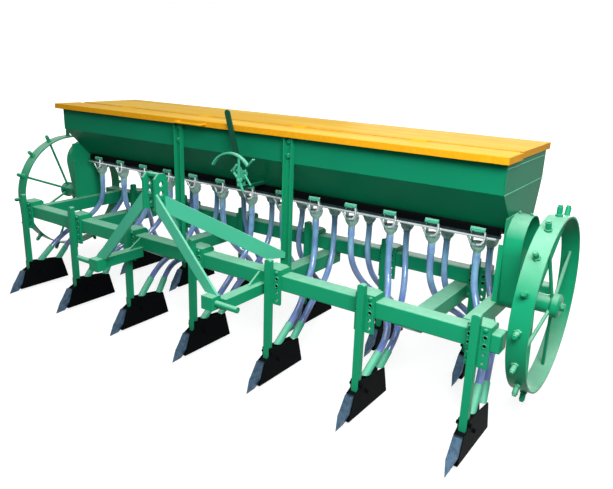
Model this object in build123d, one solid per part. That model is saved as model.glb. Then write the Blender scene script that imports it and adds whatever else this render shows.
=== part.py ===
from build123d import *
import math
import os

os.makedirs("parts", exist_ok=True)

# Seed and fertiliser drill for a tractor's three-point hitch.  Millimetres, +Z up.
# +X runs along the toolbars, -Y points to the tractor, Z = 0 is the ground under the tine points.
# Sizes across the machine are given from its middle, sizes along Y from the front face of the
# front toolbar; the finished pieces are then moved so that the origin is under the middle.

# ---- Toolbars and the members between them ----
BAR = 62.0                 # square tube of both toolbars
BAR_WALL = 5.0
BAR_CORNER = 6.0
BAR_LENGTH = 2540.0
BAR_BOTTOM = 386.0         # height of the toolbars' underside
ROW_PITCH = 543.0          # front toolbar's face to rear toolbar's face
END_MEMBER_WIDTH = 40.0
END_MEMBER_OUT = 1168.0    # outer face of the end members
INNER_MEMBER_X = 938.0     # the inner and centre members run under both toolbars
CENTRE_MEMBER_X = 301.0

# ---- Tines, clamps, boots ----
TINE_PITCH = 200.0
TINE_COUNT = 13
SHANK_WIDTH = 27.0
SHANK_DEPTH = 22.0
SHANK_TOP = 502.0
SHANK_FOOT = 104.0
CLAMP_PLATE = 10.0         # plate between shank and toolbar
CLAMP_INNER = 30.0         # plate's reach on one side of the tine's middle
CLAMP_OUTER = 45.0         # and on the other side
CLAMP_BOTTOM = 330.0
CLAMP_JAW = 22.0           # thickness of the jaw over the toolbar
CLAMP_HOOK_DROP = 26.0     # how far the jaw's hook reaches down behind the toolbar
CLAMP_HOLE = 11.0
CLAMP_HOLE_PITCH = 30.0
TURNED_CLAMPS = (-5, -3, -2, -1)   # tines whose clamp is turned round, counted from the middle tine
SEAT = 0.3                 # clearance between pieces that seat on each other
BOOT_CHEEK = 4.0           # thickness of a boot's side plate
BOOT_TOP = 150.0
BOOT_TOP_REAR = 125.0
BOOT_BOTTOM = 14.0
BOOT_BROW = 116.0          # height of the side plates' front corner on the shank
NOSE_TOP_Y = -58.0         # the boot's front edge slopes from here, at the shank's foot
NOSE_FOOT_Y = -90.0        # to here, at the boot's bottom
SPACER_TOP_Y = 20.0
SPACER_STEP = (60.0, 60.0) # (y, z) of the corner in the spacer's rear side
BOOT_REAR_TOP_Y = 160.0
BOOT_REAR_BOTTOM_Y = 190.0
POINT_WIDTH = 30.0
POINT_THICK = 12.0         # at the point's upper end
POINT_BEND = (-100.0, 60.0)               # (y, z) where the point's front bends
POINT_HEEL = (-100.0, 4.0)                # (y, z) of its lower rear corner
POINT_TIP_Y = -148.0
POINT_SHOULDER = 42.0      # height where the point's two edges start to run to the tip
BOOT_TUBE = 30.0
BOOT_TUBE_WALL = 3.0
# (y, z) of each tube's foot on the boot and of its mouth; the tubes point to the hopper, so those of
# the front row lean back and those of the rear row lean forward.
FRONT_ROW_TUBES = (((40.0, 137.0), (112.0, 205.0)), ((146.0, 120.0), (194.0, 182.0)))
REAR_ROW_TUBES = (((95.0, 129.0), (45.0, 190.0)), ((150.0, 120.0), (110.0, 180.0)))
# Sideways lean of the mouths, away from the middle, by the tine's number from the middle.
TUBE_LEAN = {0: 8.0, 2: 8.0, 4: 12.0, 6: -10.0, 1: -20.0, 3: -20.0, 5: -20.0}

# ---- Three-point hitch ----
ARM_INNER = 322.0
ARM_OUTER = 366.0
GUSSET_INSET = 12.0        # from the arm's inner side
GUSSET_REACH = 70.0
GUSSET_THICK = 8.0
ARM_BOTTOM = 358.0
ARM_HEIGHT = 42.0
PIN_Y = -245.0
PIN_Z = 388.0
PIN_RADIUS = 11.0
PIN_SHOULDER = 341.5
PIN_LENGTH = 100.0
BLOCK_INNER = 290.0
BLOCK_HEIGHT = 50.0
BLOCK_SIDE = 46.0
BLOCK_TOP = 413.0
MAST_CORNER = 18.0
BRIDGE_THICK = 10.0
BRIDGE_DROP = 2.0          # below the mast plates' tops
MAST_GAP = 52.0            # between the two mast plates
MAST_PLATE = 10.0
MAST_FRONT = -235.0
MAST_DEPTH = 62.0
MAST_BOTTOM = 668.0
MAST_TOP = 805.0
TOP_LINK_RADIUS = 9.75
TOP_LINK_Z = 765.0
MAST_HOLE_PITCH = 34.0
MAST_BAR_HEAD = 64.0       # height of the flat bar's upper end on the mast plate
MAST_BAR_FOOT = 58.0       # width of its lower end on the block
MAST_BAR_INSET = 6.0       # from the pin's shoulder to that end
FLAT_THICK = 10.0
BRACE_WIDTH = 58.0
BRACE_TOP_Z = 722.0
BRACE_TOP_INSET = 8.0      # from the mast plate's rear edge to the brace's middle
BRACE_FOOT_Z = 430.0       # height of the brace's middle line at the post
BRACE_CUT_Z = 438.0        # level cut under the brace's rear end

# ---- Posts in front of the hopper ----
POST_X = 305.0
POST_WIDTH = 50.0
POST_DEPTH = 23.0
POST_WALL = 5.0
POST_TOP = 935.0

# ---- Hopper and lids ----
HOPPER_HALF = 1160.0       # to the end plates' outer faces
SHEET = 3.0
END_SHEET = 4.0
END_DROP = 1.0             # the end plates stop this much below the front and rear walls
HOPPER_FRONT = 225.0
HOPPER_REAR = 674.0
HOPPER_TOP = 952.0
HOPPER_BEND = 826.0
FRONT_TROUGH = (365.0, 432.0, 683.0)      # y from, y to, z of the outer face
REAR_TROUGH = (470.0, 612.0, 660.0)
PARTITION_TOP_Y = 350.0
PARTITION_TOP = 936.0
LID_SHEET = 3.0
LID_LIP = 24.0
LID_OVERHANG = 38.0
LID_END_OVERHANG = 25.0
REAR_LID_INSET = 9.0       # the rear lid is this much shorter at each end, so that both lids open
REAR_LID_TRIM = 8.0        # and its lip stands this much closer to the wall
HINGE_GAP = 9.0            # from the middle of the partition to each hinge axis
HINGE_Z = 953.8            # the hinge axes lie in the lids' own plane
HINGE_PIN = 3.0            # radius
HINGE_CURL = 5.5           # radius
HINGE_CLEARANCE = 0.3
KNUCKLE = 60.0
KNUCKLE_PITCH = 530.0
HANDLE_X = -192.0
HANDLE_SPAN = 150.0
HANDLE_ROD = 5.0           # radius
HANDLE_REACH = 34.0

# ---- Seed cups and spouts under the hopper ----
CUP_PITCH = 175.0
FRONT_CUP_Y = 358.0
REAR_CUP_Y = 508.0
CUP_RIM = 25.0             # radius
CUP_NECK = 13.5            # radius
CUP_WALL = 2.5
FRONT_CUP_TOP = 618.0
FRONT_NECK_END = 540.0
REAR_CUP_TOP = 598.0
REAR_NECK_END = 556.0
SHAFT_RADIUS = 8.0
SHAFT_ABOVE_CUP = 34.0     # from a cup's rim to the shaft that turns its feed roller
HOUSING_ABOVE_CUP = 18.0
HOUSING_HALF = 24.0
CHEEK_THICK = 5.0

# ---- Seed-rate lever and its quadrant, in front of the hopper ----
LEVER_Y = 168.0
LEVER_THICK = 8.0
LEVER_WIDTH = 24.0
LEVER_TOP = (23.0, 1003.0)                # (x, z)
LEVER_PIVOT = (100.0, 737.0)
LEVER_PIN = 6.0            # radius
QUADRANT = ((-45.0, 785.0), (23.0, 839.0), (142.0, 804.0))   # (x, z) along the strap
QUADRANT_TIP = (173.0, 832.0)
QUADRANT_Y = 150.0
QUADRANT_DEPTH = 16.0
QUADRANT_THICK = 5.0
BRACKET_WIDTH = 16.0
BRACKET_HEIGHT = 12.0

# ---- Land wheels ----
WHEEL_Y = 343.0
WHEEL_Z = 457.0
RIM_RADIUS = 306.0
RIM_WALL = 6.0
RIM_INNER_X = 1279.0
RIM_WIDTH = 64.0
PEG_COUNT = 16
PEG_RADIUS = 7.0
PEG_LENGTH = 38.0
SPOKE_COUNT = 8
SPOKE_RADIUS = 6.0
HUB_RADIUS = 32.0
HUB_INNER_X = 1262.0
HUB_OUTER_X = 1346.0
AXLE_RADIUS = 15.0
AXLE_END_X = 1366.0

# ---- Chain guards and end supports ----
GUARD_TOP = (372.0, 640.0, 104.0)         # y, z, radius of the round upper end
GUARD_FOOT_RADIUS = 46.0                  # round lower end, about the wheel's axis
GUARD_WIDTH = 60.0
GUARD_SHEET = 3.0
SUPPORT_FRONT = 266.0
SUPPORT_REAR = 424.0
SUPPORT_SHEET = 4.0
SUPPORT_TOP = 742.0
BEARING_RADIUS = 38.0
BEARING_DEPTH = 18.0
BEARING_CLEARANCE = 0.08

# ---- Hoses ----
HOSE = 26.0
HOSE_END_RUN = 75.0        # straight run of a hose's route on its boot tube's axis
# Routes from the cup's neck to the last point before the boot tube.  Front row: y, z and the share of
# the way across from the cup to the tine.
FRONT_TINE_FRONT_HOSE = ((358.0, 540.0, 0.0), (358.0, 458.0, 0.0), (326.0, 375.0, 0.25), (250.0, 308.0, 0.6))
FRONT_TINE_REAR_HOSE = ((508.0, 556.0, 0.0), (508.0, 470.0, 0.0), (484.0, 384.0, 0.2), (422.0, 304.0, 0.45),
                        (330.0, 262.0, 0.75))
# Rear row: y, z and the distance from the tine towards the middle at tines 1, 3 and 5.
REAR_TINE_FRONT_HOSE = ((358.0, 540.0, 25.0, 75.0, 125.0), (358.0, 460.0, 25.0, 75.0, 125.0),
                        (398.0, 386.0, 28.0, 74.0, 122.0), (462.0, 310.0, 34.0, 66.0, 110.0))
REAR_TINE_REAR_HOSE = ((508.0, 556.0, 25.0, 75.0, 125.0), (508.0, 520.0, 25.0, 75.0, 125.0),
                       (503.0, 448.0, 38.0, 76.0, 124.0), (514.0, 385.0, 46.0, 72.0, 121.0),
                       (550.0, 312.0, 50.0, 64.0, 110.0))

# ---- Worked out from the sizes above ----
BAR_TOP = BAR_BOTTOM + BAR
SHANK_FACE = -CLAMP_PLATE - SHANK_DEPTH
FRONT_REACH = PIN_Y - BLOCK_SIDE / 2
REAR_REACH = HOPPER_REAR + LID_OVERHANG - REAR_LID_TRIM + HANDLE_REACH + HANDLE_ROD
MIDDLE_Y = (FRONT_REACH + REAR_REACH) / 2
ENDS = (-1, 1)


def box(x0, x1, y0, y1, z0, z1):
    size = Box(abs(x1 - x0), abs(y1 - y0), abs(z1 - z0))
    return Pos((x0 + x1) / 2, (y0 + y1) / 2, (z0 + z1) / 2) * size


def plate_yz(points, x0, x1):
    """Flat plate across X, from its outline of (y, z) points."""
    low, high = min(x0, x1), max(x0, x1)
    outline = make_face(Polyline(*points, close=True))
    return extrude(Plane.YZ.offset(low) * outline, high - low)


def plate_xz(points, y0, y1):
    """Flat plate across Y, from its outline of (x, z) points."""
    outline = make_face(Polyline(*points, close=True))
    return extrude(Plane.XZ.offset(-y1) * outline, y1 - y0)


def rod_x(x0, x1, y, z, radius):
    low, high = min(x0, x1), max(x0, x1)
    return extrude(Plane.YZ.offset(low) * Pos(y, z) * Circle(radius), high - low)


def rod_y(y0, y1, x, z, radius):
    return extrude(Plane.XZ.offset(-y1) * Pos(x, z) * Circle(radius), y1 - y0)


def rod_z(z0, z1, x, y, radius):
    return extrude(Plane.XY.offset(z0) * Pos(x, y) * Circle(radius), z1 - z0)


def write(node, solids):
    """Move the piece from the toolbar's face to the machine's middle and write it."""
    whole = Compound(children=list(solids)) if isinstance(solids, (list, tuple)) else solids
    export_step(Pos(0, -MIDDLE_Y, 0) * whole, f"parts/{node}.step")


def square_tube(length):
    """Rounded square tube along X, in the middle of the origin."""
    section = RectangleRounded(BAR, BAR, BAR_CORNER) - Rectangle(BAR - 2 * BAR_WALL, BAR - 2 * BAR_WALL)
    return extrude(Plane.YZ.offset(-length / 2) * section, length)


# ---------------------------------------------------------------- frame
def toolbar(face_y):
    return Pos(0, face_y + BAR / 2, BAR_BOTTOM + BAR / 2) * square_tube(BAR_LENGTH)


def member(x, width, y0, y1, bottom):
    """Rectangular tube along Y, as tall as the toolbars."""
    outer = box(x - width / 2, x + width / 2, y0, y1, bottom, bottom + BAR)
    inner = box(x - width / 2 + BAR_WALL, x + width / 2 - BAR_WALL, y0, y1,
                bottom + BAR_WALL, bottom + BAR - BAR_WALL)
    return outer - inner


def end_member(side):
    """Member between the toolbars' inner faces, level with them."""
    x = side * (END_MEMBER_OUT - END_MEMBER_WIDTH / 2)
    return member(x, END_MEMBER_WIDTH, BAR + SEAT, ROW_PITCH - SEAT, BAR_BOTTOM)


def lower_member(x):
    """Member that runs under both toolbars."""
    return member(x, BAR, 0, ROW_PITCH + BAR, BAR_BOTTOM - SEAT - BAR)


write("front_toolbar", toolbar(0))
write("rear_toolbar", toolbar(ROW_PITCH))
write("end_members", [end_member(side) for side in ENDS])
write("inner_members", [lower_member(side * INNER_MEMBER_X) for side in ENDS])
write("centre_members", [lower_member(side * CENTRE_MEMBER_X) for side in ENDS])


# ---------------------------------------------------------------- tines
# Tines run by turns on the front and the rear toolbar; the middle one is on the front.
tines = []                 # (x, y of the toolbar's face, side of the clamp's long edge, number from the middle)
for number in range(TINE_COUNT):
    place = number - (TINE_COUNT - 1) // 2
    face = 0.0 if place % 2 == 0 else ROW_PITCH
    tines.append((place * TINE_PITCH, face, -1 if place in TURNED_CLAMPS else 1, place))


def shank():
    return box(-SHANK_WIDTH / 2, SHANK_WIDTH / 2, SHANK_FACE, -CLAMP_PLATE, SHANK_FOOT, SHANK_TOP)


def clamp(side):
    """Holed plate behind the shank, with a hooked jaw over the toolbar."""
    jaw_top = BAR_TOP + CLAMP_JAW
    hook_rear = BAR + SEAT + CLAMP_PLATE
    profile = [(-CLAMP_PLATE, CLAMP_BOTTOM), (0, CLAMP_BOTTOM), (0, BAR_TOP), (BAR, BAR_TOP),
               (BAR, jaw_top - 10), (BAR - 12, jaw_top), (-CLAMP_PLATE, jaw_top)]
    body = plate_yz(profile, -CLAMP_INNER * side, CLAMP_OUTER * side)
    hook = [(BAR - 12, BAR_TOP), (BAR + SEAT, BAR_TOP), (BAR + SEAT, BAR_TOP - CLAMP_HOOK_DROP),
            (hook_rear, BAR_TOP - CLAMP_HOOK_DROP), (hook_rear, jaw_top - 10), (hook_rear - 12, jaw_top),
            (BAR - 12, jaw_top)]
    body += plate_yz(hook, -CLAMP_INNER, CLAMP_INNER)
    columns = (-(CLAMP_INNER + SHANK_WIDTH / 2) / 2 * side, (CLAMP_OUTER + SHANK_WIDTH / 2) / 2 * side)
    for x in columns:
        for row in range(2):
            z = CLAMP_BOTTOM + CLAMP_HOLE_PITCH * (row + 0.6)
            body -= rod_y(-CLAMP_PLATE, 0, x, z, CLAMP_HOLE / 2)
    return body


def boot():
    """Two side plates on the shank's foot, closed by a spacer behind it."""
    outline = [(SHANK_FACE, BOOT_TOP), (BOOT_REAR_TOP_Y, BOOT_TOP_REAR),
               (BOOT_REAR_BOTTOM_Y, BOOT_BOTTOM), (NOSE_FOOT_Y, BOOT_BOTTOM), (NOSE_TOP_Y, SHANK_FOOT),
               (SHANK_FACE, BOOT_BROW)]
    half = SHANK_WIDTH / 2
    cheeks = [plate_yz(outline, side * half, side * (half + BOOT_CHEEK)) for side in ENDS]
    spacer = plate_yz([(-CLAMP_PLATE, SHANK_FOOT), (SPACER_TOP_Y, SHANK_FOOT), SPACER_STEP,
                       (SPACER_STEP[0], BOOT_BOTTOM), (NOSE_FOOT_Y, BOOT_BOTTOM), (NOSE_TOP_Y, SHANK_FOOT)],
                      -half, half)
    return cheeks[0] + cheeks[1] + spacer


def point():
    """Narrow forward-curved share with a pointed end."""
    outline = [(NOSE_TOP_Y - SEAT, SHANK_FOOT), (NOSE_TOP_Y - POINT_THICK, SHANK_FOOT), POINT_BEND,
               (POINT_TIP_Y, 0), POINT_HEEL, (NOSE_FOOT_Y - SEAT, BOOT_BOTTOM)]
    half = POINT_WIDTH / 2
    body = plate_yz(outline, -half, half)
    high = SHANK_FOOT + POINT_THICK
    front_view = plate_xz([(-half, high), (half, high), (half, POINT_SHOULDER), (0, 0),
                           (-half, POINT_SHOULDER)], POINT_TIP_Y - POINT_THICK, 0)
    return body & front_view


def boot_tube(foot, mouth, lean):
    """Steel tube from the boot's top edges to the hose; its foot is cut to sit on those edges."""
    axis = Vector(lean, mouth[0] - foot[0], mouth[1] - foot[1])
    start = Plane(origin=Vector(0, *foot) - axis.normalized() * BOOT_TUBE, z_dir=axis)
    ring = Circle(BOOT_TUBE / 2) - Circle(BOOT_TUBE / 2 - BOOT_TUBE_WALL)
    tube = extrude(start * ring, axis.length + BOOT_TUBE)
    slope = (BOOT_TOP_REAR - BOOT_TOP) / (BOOT_REAR_TOP_Y - SHANK_FACE)
    reach = 2 * BOOT_REAR_TOP_Y
    below = plate_yz([(-reach, BOOT_TOP + SEAT + slope * (-reach - SHANK_FACE)), (-reach, 0), (reach, 0),
                      (reach, BOOT_TOP + SEAT + slope * (reach - SHANK_FACE))], -2 * BOOT_TUBE, 2 * BOOT_TUBE)
    return tube - below


def lean_of(number):
    """Sideways lean of the tubes' mouths at the tine of that number from the middle."""
    return math.copysign(1, number) * TUBE_LEAN[abs(number)]


def each_tine(face, build):
    """One copy of a piece at every tine of the toolbar whose face is given."""
    return [Pos(x, y, 0) * build(side) for x, y, side, number in tines if y == face]


for row, face, tube_pair in (("front", 0.0, FRONT_ROW_TUBES), ("rear", ROW_PITCH, REAR_ROW_TUBES)):
    write(f"{row}_shanks", each_tine(face, lambda side: shank()))
    write(f"{row}_clamps", each_tine(face, clamp))
    write(f"{row}_boots", each_tine(face, lambda side: boot()))
    write(f"{row}_points", each_tine(face, lambda side: point()))
    write(f"{row}_boot_tubes", [Pos(x, y, 0) * boot_tube(foot, mouth, lean_of(number))
                                for x, y, side, number in tines if y == face for foot, mouth in tube_pair])


# ---------------------------------------------------------------- hitch
def hitch_arm(side):
    """Arm under the front toolbar's face with the gusset that ties it to that face."""
    rear_of_block = PIN_Y + BLOCK_SIDE / 2
    arm = box(side * ARM_INNER, side * ARM_OUTER, rear_of_block + SEAT, -SEAT, ARM_BOTTOM, ARM_BOTTOM + ARM_HEIGHT)
    top = ARM_BOTTOM + ARM_HEIGHT
    gusset_x = side * (ARM_INNER + GUSSET_INSET)
    gusset = plate_yz([(-SEAT, top), (-SEAT, BAR_TOP - BAR_CORNER), (-GUSSET_REACH, top)],
                      gusset_x, gusset_x + side * GUSSET_THICK)
    return arm + gusset


def hitch_block(side):
    """Block on the arm's end with the lower link's pin."""
    block = box(side * BLOCK_INNER, side * PIN_SHOULDER, PIN_Y - BLOCK_SIDE / 2, PIN_Y + BLOCK_SIDE / 2,
                BLOCK_TOP - BLOCK_HEIGHT, BLOCK_TOP)
    pin = rod_x(side * PIN_SHOULDER, side * (PIN_SHOULDER + PIN_LENGTH), PIN_Y, PIN_Z, PIN_RADIUS)
    return block + pin


def mast_plate(side):
    inner = side * MAST_GAP / 2
    outer = side * (MAST_GAP / 2 + MAST_PLATE)
    rear = MAST_FRONT + MAST_DEPTH
    shoulder = MAST_TOP - MAST_CORNER
    body = plate_yz([(MAST_FRONT, MAST_BOTTOM), (rear, MAST_BOTTOM), (rear, shoulder),
                     (rear - MAST_CORNER, MAST_TOP), (MAST_FRONT + MAST_CORNER, MAST_TOP),
                     (MAST_FRONT, shoulder)], inner, outer)
    middle = MAST_FRONT + MAST_DEPTH / 2
    for step in range(3):
        body -= rod_x(inner, outer, middle, TOP_LINK_Z - step * MAST_HOLE_PITCH, TOP_LINK_RADIUS)
    return body


def mast_bar(side):
    """Flat bar from the mast plate down to the block at the arm's end."""
    top_x = MAST_GAP / 2 + MAST_PLATE + SEAT
    foot_x = PIN_SHOULDER - MAST_BAR_INSET
    points = [(top_x, MAST_BOTTOM + MAST_BAR_HEAD), (top_x, MAST_BOTTOM),
              (foot_x - MAST_BAR_FOOT, BLOCK_TOP + SEAT), (foot_x, BLOCK_TOP + SEAT)]
    points = [(side * x, z) for x, z in points]
    return plate_xz(points, MAST_FRONT, MAST_FRONT + FLAT_THICK)


def mast_bridge():
    """Bar between the mast plates' tops."""
    half = MAST_GAP / 2 - SEAT
    top = MAST_TOP - BRIDGE_DROP
    return box(-half, half, MAST_FRONT + MAST_CORNER, MAST_FRONT + MAST_DEPTH - MAST_CORNER,
               top - BRIDGE_THICK, top)


def mast_brace(side):
    """Wide flat bar on edge from the mast plate back and down to the post's front."""
    top = Vector(MAST_GAP / 2 + MAST_PLATE, MAST_FRONT + MAST_DEPTH - BRACE_TOP_INSET, BRACE_TOP_Z)
    foot = Vector(POST_X, HOPPER_FRONT - SEAT - POST_DEPTH, BRACE_FOOT_Z)
    run = math.hypot(foot.X - top.X, foot.Y - top.Y)
    rise = top.Z - foot.Z
    tall = BRACE_WIDTH / 2 * math.hypot(run, rise) / run
    spare = BRACE_WIDTH
    drop = rise * spare / run
    outline = [(-spare, top.Z + drop + tall), (-spare, top.Z + drop - tall),
               (run + spare, foot.Z - drop - tall), (run + spare, foot.Z - drop + tall)]
    turn = math.degrees(math.atan2(foot.Y - top.Y, foot.X - top.X))
    flat = extrude(Plane.XZ.offset(-FLAT_THICK / 2) * make_face(Polyline(*outline, close=True)), FLAT_THICK)
    bar = Pos(top.X, top.Y, 0) * Rot(0, 0, turn) * flat
    keep = box(top.X + SEAT, foot.X + spare, MAST_FRONT, foot.Y - SEAT, BRACE_CUT_Z, MAST_TOP)
    bar = bar & keep
    return bar if side > 0 else mirror(bar, Plane.YZ)


write("hitch_arms", [hitch_arm(side) for side in ENDS])
write("hitch_pins", [hitch_block(side) for side in ENDS])
write("mast_plates", [mast_plate(-1), mast_plate(1), mast_bridge()])
write("mast_bars", [mast_bar(side) for side in ENDS])
write("mast_braces", [mast_brace(side) for side in ENDS])


# ---------------------------------------------------------------- posts
def post(side):
    """Channel from the centre member up the hopper's front wall, open to the front."""
    x = side * POST_X
    rear = HOPPER_FRONT - SEAT
    outer = box(x - POST_WIDTH / 2, x + POST_WIDTH / 2, rear - POST_DEPTH, rear, BAR_BOTTOM, POST_TOP)
    hollow = box(x - POST_WIDTH / 2 + POST_WALL, x + POST_WIDTH / 2 - POST_WALL,
                 rear - POST_DEPTH, rear - POST_WALL, BAR_BOTTOM, POST_TOP)
    return outer - hollow


write("posts", [post(side) for side in ENDS])


# ---------------------------------------------------------------- hopper
def folded_sheet(outer, inner, half_length):
    """Folded sheet along X between its outer and its inner line of (y, z) points."""
    return plate_yz(list(outer) + list(reversed(inner)), -half_length, half_length)


def shifted(points, thickness):
    """Points of a folded line moved to its left by the sheet's thickness, mitred at the folds."""
    moved = []
    for index, here in enumerate(points):
        normals = []
        for a, b in ((index - 1, index), (index, index + 1)):
            if 0 <= a and b < len(points):
                dy = points[b][0] - points[a][0]
                dz = points[b][1] - points[a][1]
                size = math.hypot(dy, dz)
                normals.append((-dz / size, dy / size))
        ny = sum(n[0] for n in normals)
        nz = sum(n[1] for n in normals)
        scale = thickness * len(normals) / (ny * ny + nz * nz)
        if len(normals) == 2:
            scale = 2 * thickness / (ny * ny + nz * nz)
        moved.append((here[0] + ny * scale, here[1] + nz * scale))
    return moved


inside_half = HOPPER_HALF - END_SHEET
front_line = [(HOPPER_FRONT, HOPPER_TOP), (HOPPER_FRONT, HOPPER_BEND),
              (FRONT_TROUGH[0], FRONT_TROUGH[2]), (FRONT_TROUGH[1], FRONT_TROUGH[2])]
rear_line = [(FRONT_TROUGH[1], FRONT_TROUGH[2]), (REAR_TROUGH[0], REAR_TROUGH[2]),
             (REAR_TROUGH[1], REAR_TROUGH[2]), (HOPPER_REAR, HOPPER_BEND), (HOPPER_REAR, HOPPER_TOP)]
write("hopper_front", folded_sheet(front_line, shifted(front_line, SHEET), inside_half))
write("hopper_rear", folded_sheet(rear_line, shifted(rear_line, SHEET), inside_half))
partition_foot = (FRONT_TROUGH[1] - SHEET, FRONT_TROUGH[2] + SHEET)
partition = [(PARTITION_TOP_Y - SHEET / 2, PARTITION_TOP), (PARTITION_TOP_Y + SHEET / 2, PARTITION_TOP),
             (partition_foot[0], partition_foot[1] + 1), (partition_foot[0] - SHEET, partition_foot[1] + 1)]
write("hopper_partition", plate_yz(partition, -inside_half, inside_half))
end_outline = [(y, min(z, HOPPER_TOP - END_DROP)) for y, z in front_line + rear_line[1:]]
write("hopper_ends", [plate_yz(end_outline, side * inside_half, side * HOPPER_HALF) for side in ENDS])


# ---------------------------------------------------------------- lever
def lever():
    """Flat hand lever on its pivot pin."""
    run = Vector(LEVER_PIVOT[0] - LEVER_TOP[0], LEVER_PIVOT[1] - LEVER_TOP[1], 0)
    length = run.length
    middle = ((LEVER_TOP[0] + LEVER_PIVOT[0]) / 2, (LEVER_TOP[1] + LEVER_PIVOT[1]) / 2)
    outline = Pos(*middle) * Rot(0, 0, math.degrees(math.atan2(run.Y, run.X))) * SlotCenterToCenter(length, LEVER_WIDTH)
    bar = extrude(Plane.XZ.offset(-(LEVER_Y + LEVER_THICK)) * outline, LEVER_THICK)
    return bar - rod_y(LEVER_Y - 1, LEVER_Y + LEVER_THICK + 1, *LEVER_PIVOT, LEVER_PIN + BEARING_CLEARANCE)


def quadrant():
    """Curved strap beside the lever, on a bracket from the hopper's slope that also carries the pin."""
    start, middle, end = QUADRANT
    arc = ThreePointArc(start, middle, end)
    tip = Line(end, QUADRANT_TIP)
    strap = make_face(offset(Wire([arc.edge(), tip.edge()]), QUADRANT_THICK / 2, kind=Kind.INTERSECTION))
    body = extrude(Plane.XZ.offset(-(QUADRANT_Y + QUADRANT_DEPTH)) * strap, QUADRANT_DEPTH)
    x, pin_z = LEVER_PIVOT
    bar_top = pin_z - LEVER_WIDTH / 2 - BRACKET_HEIGHT
    bar_bottom = bar_top - BRACKET_HEIGHT
    slope = (FRONT_TROUGH[0] - HOPPER_FRONT) / (HOPPER_BEND - FRONT_TROUGH[2])
    rear_low = HOPPER_FRONT + slope * (HOPPER_BEND - bar_bottom) - 2 * SEAT
    rear_high = HOPPER_FRONT + slope * (HOPPER_BEND - bar_top) - 2 * SEAT
    body += plate_yz([(QUADRANT_Y, bar_bottom), (rear_low, bar_bottom), (rear_high, bar_top), (QUADRANT_Y, bar_top)],
                     x - BRACKET_WIDTH / 2, x + BRACKET_WIDTH / 2)
    arm = [(x - BRACKET_WIDTH / 2, bar_top), (x + BRACKET_WIDTH / 2, bar_top), (end[0] + 4, end[1]), (end[0] - 8, end[1])]
    body += plate_xz(arm, QUADRANT_Y, QUADRANT_Y + QUADRANT_THICK)
    lug_y = LEVER_Y + LEVER_THICK + 1
    body += box(x - LEVER_WIDTH / 2, x + LEVER_WIDTH / 2, lug_y, lug_y + 6, bar_top, pin_z + LEVER_WIDTH / 2)
    body += rod_y(LEVER_Y - 6, lug_y + 6, x, pin_z, LEVER_PIN)
    return body


write("seed_rate_lever", lever())
write("lever_quadrant", quadrant())


# ---------------------------------------------------------------- lids
knuckles = [(i - 1.5) * KNUCKLE_PITCH for i in range(4)]


def lid_edge(side):
    """Outer face of a lid's lip; side is -1 for the front lid."""
    return (HOPPER_FRONT - LID_OVERHANG) if side < 0 else (HOPPER_REAR + LID_OVERHANG - REAR_LID_TRIM)


def lid(side):
    """Sheet lid with lips on three sides and hinge knuckles on the fourth."""
    half = HOPPER_HALF + LID_END_OVERHANG - (REAR_LID_INSET if side > 0 else 0)
    axis_y = PARTITION_TOP_Y + side * HINGE_GAP
    near = axis_y + side * (HINGE_CURL + 0.5)
    far = lid_edge(side)
    under = HOPPER_TOP + SEAT
    top = under + LID_SHEET
    lip = top - LID_LIP
    body = box(-half, half, near, far, under, top)
    body += box(-half, half, far, far - side * LID_SHEET, lip, under)
    for end in ENDS:
        body += box(end * half, end * (half - LID_SHEET), near, far, lip, under)
    for x in knuckles:
        body += rod_x(x - KNUCKLE / 2, x + KNUCKLE / 2, axis_y, HINGE_Z, HINGE_CURL)
        body += box(x - KNUCKLE / 2, x + KNUCKLE / 2, axis_y + side * 4, near, under, top)
    for x in knuckles:
        body -= rod_x(x - KNUCKLE, x + KNUCKLE, axis_y, HINGE_Z, HINGE_PIN + HINGE_CLEARANCE)
    return body


def hinges():
    """Pins and lugs of both lids, on a bar along the partition's top edge."""
    bar = box(-inside_half, inside_half, PARTITION_TOP_Y - 2, PARTITION_TOP_Y + 2, PARTITION_TOP, HINGE_Z + 2)
    for side in ENDS:
        axis_y = PARTITION_TOP_Y + side * HINGE_GAP
        for x in knuckles:
            reach = KNUCKLE / 2 + 10
            bar += rod_x(x - reach, x + reach, axis_y, HINGE_Z, HINGE_PIN)
            for end in ENDS:
                lug_x = x + end * (KNUCKLE / 2 + 1)
                bar += box(lug_x, lug_x + end * 8, PARTITION_TOP_Y, axis_y + side * 3, HINGE_Z - 4, HINGE_Z + 4)
    return bar


def handle(side):
    """Round-rod grab handle on the middle of a lid's lip."""
    far = lid_edge(side)
    z = HOPPER_TOP - 10
    low, high = HANDLE_X - HANDLE_SPAN / 2, HANDLE_X + HANDLE_SPAN / 2
    out = far + side * HANDLE_REACH
    path = FilletPolyline((low, far, z), (low, out, z), (high, out, z), (high, far, z), radius=12)
    start = Plane(origin=path @ 0, z_dir=path % 0)
    return sweep(start * Circle(HANDLE_ROD), path)


write("front_lid", lid(-1))
write("rear_lid", lid(1))
write("lid_hinges", hinges())
write("front_handle", handle(-1))
write("rear_handle", handle(1))


# ---------------------------------------------------------------- seed cups
cup_places = [(number - (TINE_COUNT - 1) // 2) * CUP_PITCH for number in range(TINE_COUNT)]


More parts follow.
